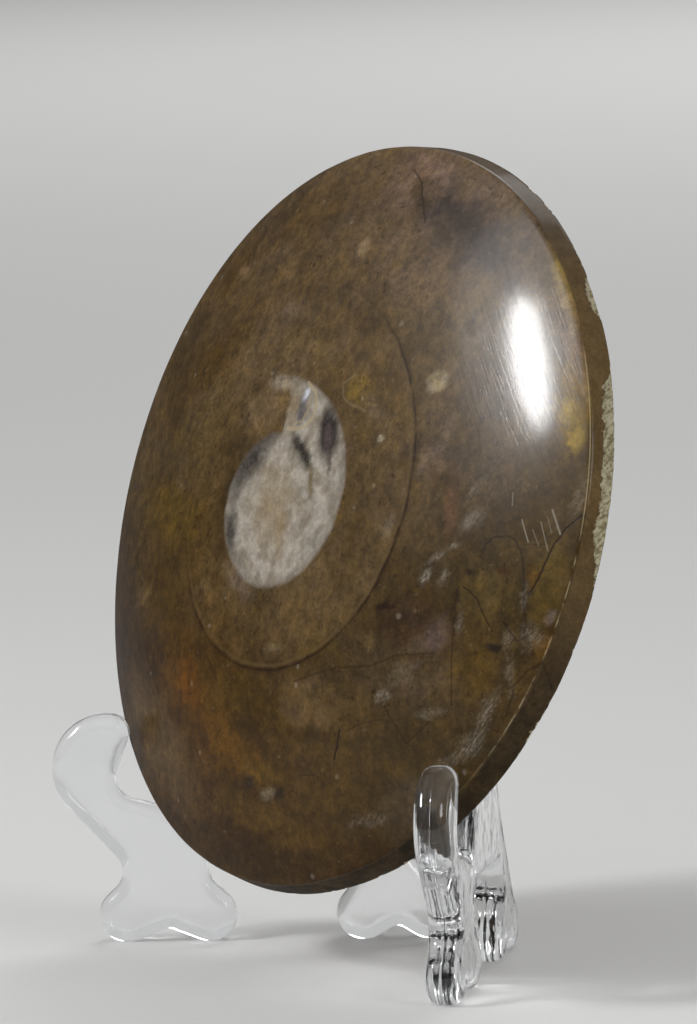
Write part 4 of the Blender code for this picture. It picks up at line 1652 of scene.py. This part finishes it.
@dataclass
class EaselLeg:
    """One scrolled leg, moulded in one piece, with a slot for the cross bar.

    The profile is a list of circles that a closed line wraps around in turn: how far back,
    how high, the radius, and 1 for material or -1 for a hollow, in millimetres.
    """

    side: Side
    thickness: float = 4.6 * MM
    edge_radius: float = 1.8 * MM
    edge_steps: int = 7
    parting_line: float = 0.05 * MM  # height of the mould's seam
    parting_half: float = 0.12 * MM  # and half its width
    half_spread: float = 34.8 * MM
    v_angle: float = math.radians(41.7)
    arc_step: float = math.radians(3.5)
    slot_width: float = 3.6 * MM
    slot_back: float = 18.0 * MM
    slot_bottom: float = 27.05 * MM
    profile: tuple[Circle, ...] = (
        (-0.25, 27.75, 2.45, 1),
        (-0.8, 22.9, 7.3, 1),
        (-2.1, 9.25, 3.0, -1),
        (1.3, 3.35, 3.6, 1),
        (6.9, 0.0, 1.5, -1),
        (12.3, 3.35, 3.6, 1),
        (15.8, 9.7, 3.5, -1),
        (28.6, 9.5, 3.5, -1),
        (32.8, 3.35, 3.6, 1),
        (37.2, 0.0, 1.5, -1),
        (41.5, 3.35, 3.6, 1),
        (44.0, 10.7, 3.6, -1),
        (54.5, 32.5, 25.0, -1),
        (20.4, 42.5, 2.6, 1),
        (8.2, 19.0, 1.5, -1),
        (3.3, 21.8, 3.0, -1),
    )

    def touching_line(self, circle: Circle, following: Circle) -> float:
        """Find the line that leaves one circle and meets the next.

        Args:
            circle: The first circle.
            following: The next one.

        Returns:
            Angle of the line's left-hand normal.
        """
        back, up, radius, side = circle
        back_2, up_2, radius_2, side_2 = following
        distance = math.hypot(back_2 - back, up_2 - up)
        heading = math.atan2(up_2 - up, back_2 - back)
        return heading + math.acos((side_2 * radius_2 - side * radius) / distance)

    def outline(self) -> list[tuple[float, float, float]]:
        """Walk the closed line round the circles, with the material on the left.

        Returns:
            How far back, how high and the outward normal's angle, point by point.
        """
        points = []
        for index, circle in enumerate(self.profile):
            back, up, radius, side = circle
            arrive = self.touching_line(self.profile[index - 1], circle) + math.pi
            leave = self.touching_line(circle, self.profile[(index + 1) % len(self.profile)]) + math.pi
            sweep = (leave - arrive) * side % (2.0 * math.pi) * side
            steps = max(2, math.ceil(abs(sweep) / self.arc_step))
            for step in range(steps + 1):
                normal = arrive + sweep * step / steps
                reach = side * radius
                points.append((back + reach * math.cos(normal), up + reach * math.sin(normal), normal))
        return points

    def stations(self) -> list[tuple[float, float]]:
        """List the section across the leg.

        Returns:
            The place across the leg and the inset from the outline, from side to side.
        """
        flat = 0.5 * self.thickness - self.edge_radius
        half = [(flat + self.edge_radius * math.sin(turn), self.edge_radius * (1.0 - math.cos(turn)))
                for turn in (0.5 * math.pi * step / self.edge_steps for step in range(self.edge_steps + 1))]
        half.append((0.5 * self.thickness, 1.1 * self.edge_radius))
        middle = [(-self.parting_half, 0.0), (0.0, -self.parting_line), (self.parting_half, 0.0)]
        return [(-across, inset) for across, inset in reversed(half)] + middle + half

    def build(self, material: Material) -> Object:
        """Make the leg.

        Args:
            material: The acrylic.

        Returns:
            The finished piece.
        """
        bm = bmesh.new()
        points = self.outline()
        loops = []
        for across, inset in self.stations():
            loop = []
            for back, up, normal in points:
                place = (across, back * MM - inset * math.cos(normal), up * MM - inset * math.sin(normal))
                loop.append(bm.verts.new(place))
            loops.append(loop)
        bridge_closed_loops(bm, loops)
        bm.faces.new(loops[0])
        bm.faces.new(loops[-1])
        bmesh.ops.remove_doubles(bm, verts=bm.verts, dist=0.002 * MM)
        everything = bm.verts[:] + bm.edges[:] + bm.faces[:]
        bmesh.ops.bisect_plane(bm, geom=everything, plane_co=(0, 0, 0), plane_no=(0, 0, 1), clear_inner=True)
        bmesh.ops.holes_fill(bm, edges=[edge for edge in bm.edges if edge.is_boundary])
        bmesh.ops.recalc_face_normals(bm, faces=bm.faces)
        name = f"clear_leg_{self.side.name.lower()}"
        leg = show(name, plain_mesh(bm, name))
        place = Matrix.Translation(TABLE_SHIFT + Vector((self.side.value * self.half_spread, 0.0, 0.0)))
        leg.data.transform(place @ Matrix.Rotation(self.side.value * self.v_angle, 4, "Z"))
        offset = self.half_spread - self.slot_back * math.tan(self.v_angle)
        middle = self.slot_bottom + 0.5 * CUTTER_LENGTH
        centre = Vector((self.side.value * offset, self.slot_back, middle)) + TABLE_SHIFT
        carve(leg, cutting_box((CUTTER_LENGTH, self.slot_width, CUTTER_LENGTH), centre, 0.0))
        return dressed(leg, material)


@dataclass
class CrossBar:
    """The plate that ties the legs, with rounded ends and a notch over each leg."""

    back: float = 18.0 * MM
    thickness: float = 3.0 * MM
    half_length: float = 21.6 * MM
    bottom: float = 23.6 * MM
    top: float = 35.0 * MM
    corner: float = 2.2 * MM
    bevel: float = 0.5 * MM
    notch_width: float = 5.2 * MM
    notch_top: float = 27.35 * MM
    legs: EaselLeg = field(default_factory=lambda: EaselLeg(Side.RIGHT))

    def build(self, material: Material) -> Object:
        """Make the bar.

        Args:
            material: The acrylic.

        Returns:
            The finished piece.
        """
        bm = bmesh.new()
        bmesh.ops.create_cube(bm, size=1.0)
        size = (2.0 * self.half_length, self.thickness, self.top - self.bottom)
        bmesh.ops.scale(bm, verts=bm.verts, vec=size)
        through = 0.5 * self.thickness
        corners = [edge for edge in bm.edges if abs(edge.verts[0].co.y - edge.verts[1].co.y) > through]
        bmesh.ops.bevel(bm, geom=corners, offset=self.corner, segments=10, profile=0.5, affect="EDGES")
        flats = [face for face in bm.faces if abs(face.normal.y) > 0.5]
        rims = {edge for flat in flats for edge in flat.edges}
        bmesh.ops.bevel(bm, geom=list(rims), offset=self.bevel, segments=4, profile=0.5, affect="EDGES")
        place = Vector((0.0, self.back, 0.5 * (self.top + self.bottom))) + TABLE_SHIFT
        bmesh.ops.translate(bm, verts=bm.verts, vec=place)
        bar = show("clear_cross_bar", plain_mesh(bm, "clear_cross_bar"))
        offset = self.legs.half_spread - self.back * math.tan(self.legs.v_angle)
        middle = self.notch_top - 0.5 * CUTTER_LENGTH
        size = (self.notch_width, CUTTER_LENGTH, CUTTER_LENGTH)
        for side in Side:
            centre = Vector((side.value * offset, self.back, middle)) + TABLE_SHIFT
            carve(bar, cutting_box(size, centre, side.value * self.legs.v_angle))
        return dressed(bar, material)


def cutting_box(size: tuple[float, float, float], centre: Vector, turn: float) -> Object:
    """Make a box to cut with.

    Args:
        size: Its width, depth and height.
        centre: Its middle.
        turn: Its angle about the vertical.

    Returns:
        The box.
    """
    bm = bmesh.new()
    place = Matrix.Translation(centre) @ Matrix.Rotation(turn, 4, "Z") @ Matrix.Diagonal((*size, 1.0))
    bmesh.ops.create_cube(bm, size=1.0, matrix=place)
    return show("cutting_box", plain_mesh(bm, "cutting_box"))


def carve(piece: Object, cutter: Object) -> None:
    """Take a cutter out of a piece for good."""
    modifier = piece.modifiers.new("carve", "BOOLEAN")
    modifier.operation = "DIFFERENCE"
    modifier.solver = "EXACT"
    modifier.object = cutter
    mesh = evaluated(piece)
    piece.modifiers.clear()
    piece.data = mesh
    bpy.data.objects.remove(cutter, do_unlink=True)


def dressed(piece: Object, material: Material) -> Object:
    """Shade a piece smooth between its sharp edges and give it its material.

    Args:
        piece: The piece.
        material: Its finish.

    Returns:
        The same piece.
    """
    piece.data.shade_smooth()
    piece.data.set_sharp_from_angle(angle=SHARP_EDGE)
    piece.data.materials.clear()
    piece.data.materials.append(material)
    return piece


# ---------------------------------------------------------------- studio


@dataclass
class Studio:
    """The pale floor, the soft lights and the camera."""

    picture: tuple[int, int] = (697, 1024)
    aim: Vector = field(default_factory=lambda: Vector((0.0, 20.0, 50.0)) * MM)
    azimuth: float = math.radians(52.163)
    elevation: float = math.radians(6.539)
    roll: float = math.radians(-1.342)
    distance: float = 900.0 * MM
    focal: float = 6945.85            # in picture points
    offset: Point = (41.5, 59.3)      # the aim's place from the middle of the picture
    mirrored_at: Point = (35.2, 21.6)  # where the polished dome mirrors the key light
    halo_at: Point = (31.6, 25.8)      # and where the wide light around it
    key_distance: float = 0.85
    key_size: Point = (0.080, 0.25)
    key_power: float = 2.4
    gleam_power: float = 3.6           # what the key adds to reflections alone
    gleam_ahead: float = 0.01          # how far it hangs before the key
    halo_size: Point = (0.30, 0.46)
    halo_power: float = 1.4
    halo_behind: float = 0.03
    side_at: Triple = (1.10, 0.16, 0.58)
    side_size: Point = (0.5, 0.5)
    side_power: float = 4.2
    fill_at: Triple = (0.7, -0.9, 1.3)
    fill_size: Point = (0.9, 0.9)
    fill_power: float = 1.0
    back_at: Triple = (-1.6, 2.5, 2.3)
    back_aim: Triple = (-1.7, 2.3, 0.0)
    back_size: Point = (2.2, 2.2)
    back_power: float = 46.0
    horizon: float = 0.06              # strength of the sky low down
    zenith: float = 0.32               # and overhead
    backdrop: float = 0.55             # and where it is seen, straight or through the easel

    def camera_axes(self) -> tuple[Vector, Vector, Vector, Vector]:
        """Return the camera's place and its right, up and forward directions."""
        level = math.cos(self.elevation)
        high = math.sin(self.elevation)
        away = Vector((math.sin(self.azimuth) * level, -math.cos(self.azimuth) * level, high))
        right = Vector((math.cos(self.azimuth), math.sin(self.azimuth), 0.0))
        up = away.cross(right)
        turned = math.cos(self.roll) * right + math.sin(self.roll) * up
        upright = math.cos(self.roll) * up - math.sin(self.roll) * right
        aside, above = (part / self.focal for part in self.offset)
        ahead = (-away - turned * aside + upright * above).normalized()
        turned = (turned - ahead * turned.dot(ahead)).normalized()
        return self.aim + TABLE_SHIFT + away * self.distance, turned, turned.cross(ahead), ahead

    def build_camera(self) -> None:
        """Make the camera and hand it to the scene."""
        place, right, up, ahead = self.camera_axes()
        data = bpy.data.cameras.new("camera")
        data.sensor_width = 36.0
        data.lens = data.sensor_width * self.focal / max(self.picture)
        data.clip_start, data.clip_end = 0.01, 20.0
        camera = bpy.data.objects.new("camera", data)
        bpy.context.scene.collection.objects.link(camera)
        turn = Matrix((right, up, -ahead)).transposed().to_4x4()
        camera.matrix_world = Matrix.Translation(place) @ turn
        bpy.context.scene.camera = camera

    def mirrored(self, stone: FossilSlice, across: float, up: float) -> tuple[Vector, Vector]:
        """Find what a point of the polished dome mirrors to the camera.

        Args:
            stone: The slice.
            across: U in millimetres.
            up: V in millimetres.

        Returns:
            The point on the dome and the direction from it to what it mirrors.
        """
        across, up = across * MM, up * MM
        radius = math.hypot(across, up)
        share = radius / stone.ridge_radius
        slope = stone.dome_height * stone.dome_power * share ** (stone.dome_power - 1.0) / stone.ridge_radius
        depth = -stone.dome_height * (1.0 - share ** stone.dome_power)
        place = face_place()
        point = place @ Vector((across, depth, up))
        normal = (place.to_3x3() @ Vector((slope * across / radius, -1.0, slope * up / radius))).normalized()
        seen = (self.camera_axes()[0] - point).normalized()
        return point, 2.0 * normal.dot(seen) * normal - seen

    def add_area(self, name: str, place: Vector, target: Vector, size: Point, power: float,
                 upright: Vector = Vector((0.0, 0.0, 1.0))) -> Object:
        """Hang one soft light.

        Args:
            name: Its name.
            place: Where it hangs.
            target: What it faces.
            size: Its width and height.
            power: Its power in watts.
            upright: The direction that its height follows.

        Returns:
            The light.
        """
        data = bpy.data.lights.new(name, "AREA")
        data.shape = "ELLIPSE"
        data.size, data.size_y = size
        data.energy = power
        lamp = bpy.data.objects.new(name, data)
        bpy.context.scene.collection.objects.link(lamp)
        away = (place - target).normalized()
        height = (upright - away * upright.dot(away)).normalized()
        turn = Matrix((height.cross(away), height, away)).transposed().to_4x4()
        lamp.matrix_world = Matrix.Translation(place) @ turn
        return lamp

    def build_lights(self, stone: FossilSlice) -> None:
        """Hang the lights and set the sky.

        Args:
            stone: The slice whose dome mirrors the key light.
        """
        across, up = self.mirrored_at
        point, direction = self.mirrored(stone, across, up)
        along = self.mirrored(stone, across - 0.05 * up, up + 0.05 * across)[1] - direction
        place = point + direction * self.key_distance
        self.add_area("key_light", place, point, self.key_size, self.key_power, along)
        nearer = place - direction * self.gleam_ahead
        gleam = self.add_area("key_gleam", nearer, point, self.key_size, self.gleam_power, along)
        gleam.visible_diffuse = False
        wide_point, wide_direction = self.mirrored(stone, *self.halo_at)
        wide_place = wide_point + wide_direction * (self.key_distance + self.halo_behind)
        self.add_area("key_halo", wide_place, wide_point, self.halo_size, self.halo_power, along)
        self.add_area("side_light", Vector(self.side_at), point, self.side_size, self.side_power)
        self.add_area("fill_light", Vector(self.fill_at), point, self.fill_size, self.fill_power)
        place, target, along = Vector(self.back_at), Vector(self.back_aim), Vector((1.0, 0.0, 0.0))
        self.add_area("back_light", place, target, self.back_size, self.back_power, along)
        world = bpy.data.worlds.new("studio_sky")
        world.use_nodes = True
        sheet = NodeSheet(world.node_tree)
        _, _, height = sheet.split(sheet.node("ShaderNodeTexCoord").outputs["Generated"])
        light = sheet.ramp(height, 0.10, 0.80, self.horizon, self.zenith)
        path = sheet.node("ShaderNodeLightPath")
        seen = sheet.larger(path.outputs["Is Camera Ray"], path.outputs["Is Transmission Ray"])
        light = sheet.larger(light, sheet.times(seen, self.backdrop))
        sky = sheet.node("ShaderNodeBackground")
        sheet.feed(sky.inputs["Strength"], light)
        sky.inputs["Color"].default_value = (1.0, 1.0, 1.0, 1.0)
        sheet.feed(sheet.node("ShaderNodeOutputWorld").inputs["Surface"], sky.outputs[0])
        bpy.context.scene.world = world
        bpy.context.scene.view_settings.view_transform = "Standard"

    def build_floor(self) -> Object:
        """Lay the floor.

        Returns:
            The floor.
        """
        bm = bmesh.new()
        bmesh.ops.create_circle(bm, cap_ends=True, segments=96, radius=FLOOR_RADIUS)
        mesh = plain_mesh(bm, "floor")
        made = bpy.data.materials.new("pale_floor")
        made.use_nodes = True
        shader = made.node_tree.nodes["Principled BSDF"]
        shader.inputs["Base Color"].default_value = (0.76, 0.76, 0.75, 1.0)
        shader.inputs["Roughness"].default_value = 0.75
        mesh.materials.append(made)
        return show("floor", mesh)


# ---------------------------------------------------------------- assembly


def hand_over(piece: Object, node: str) -> None:
    """Let a piece stand for a node of the frame and report it.

    Args:
        piece: The finished piece.
        node: The node that it replaces.
    """
    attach(piece, "root")
    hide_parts(node)
    LOG.info("%s stands for %s: %d faces", piece.name, node, len(piece.data.polygons))


def main() -> None:
    """Build the studio, the easel and the stone."""
    logging.basicConfig(level=logging.INFO, format="%(message)s")
    effects = Effects()
    stone = FossilSlice()
    studio = Studio()
    studio.build_camera()
    studio.build_lights(stone)
    studio.build_floor()
    LOG.info("studio ready")
    hand_over(stone.build(StoneFinish().material(effects)), "ammonite_slice")
    acrylic = AcrylicFinish().material(effects)
    for side in Side:
        hand_over(EaselLeg(side).build(acrylic), f"easel_leg_{side.name.lower()}")
    hand_over(CrossBar().build(acrylic), "easel_cross_bar")


if __name__ == "__main__":
    main()
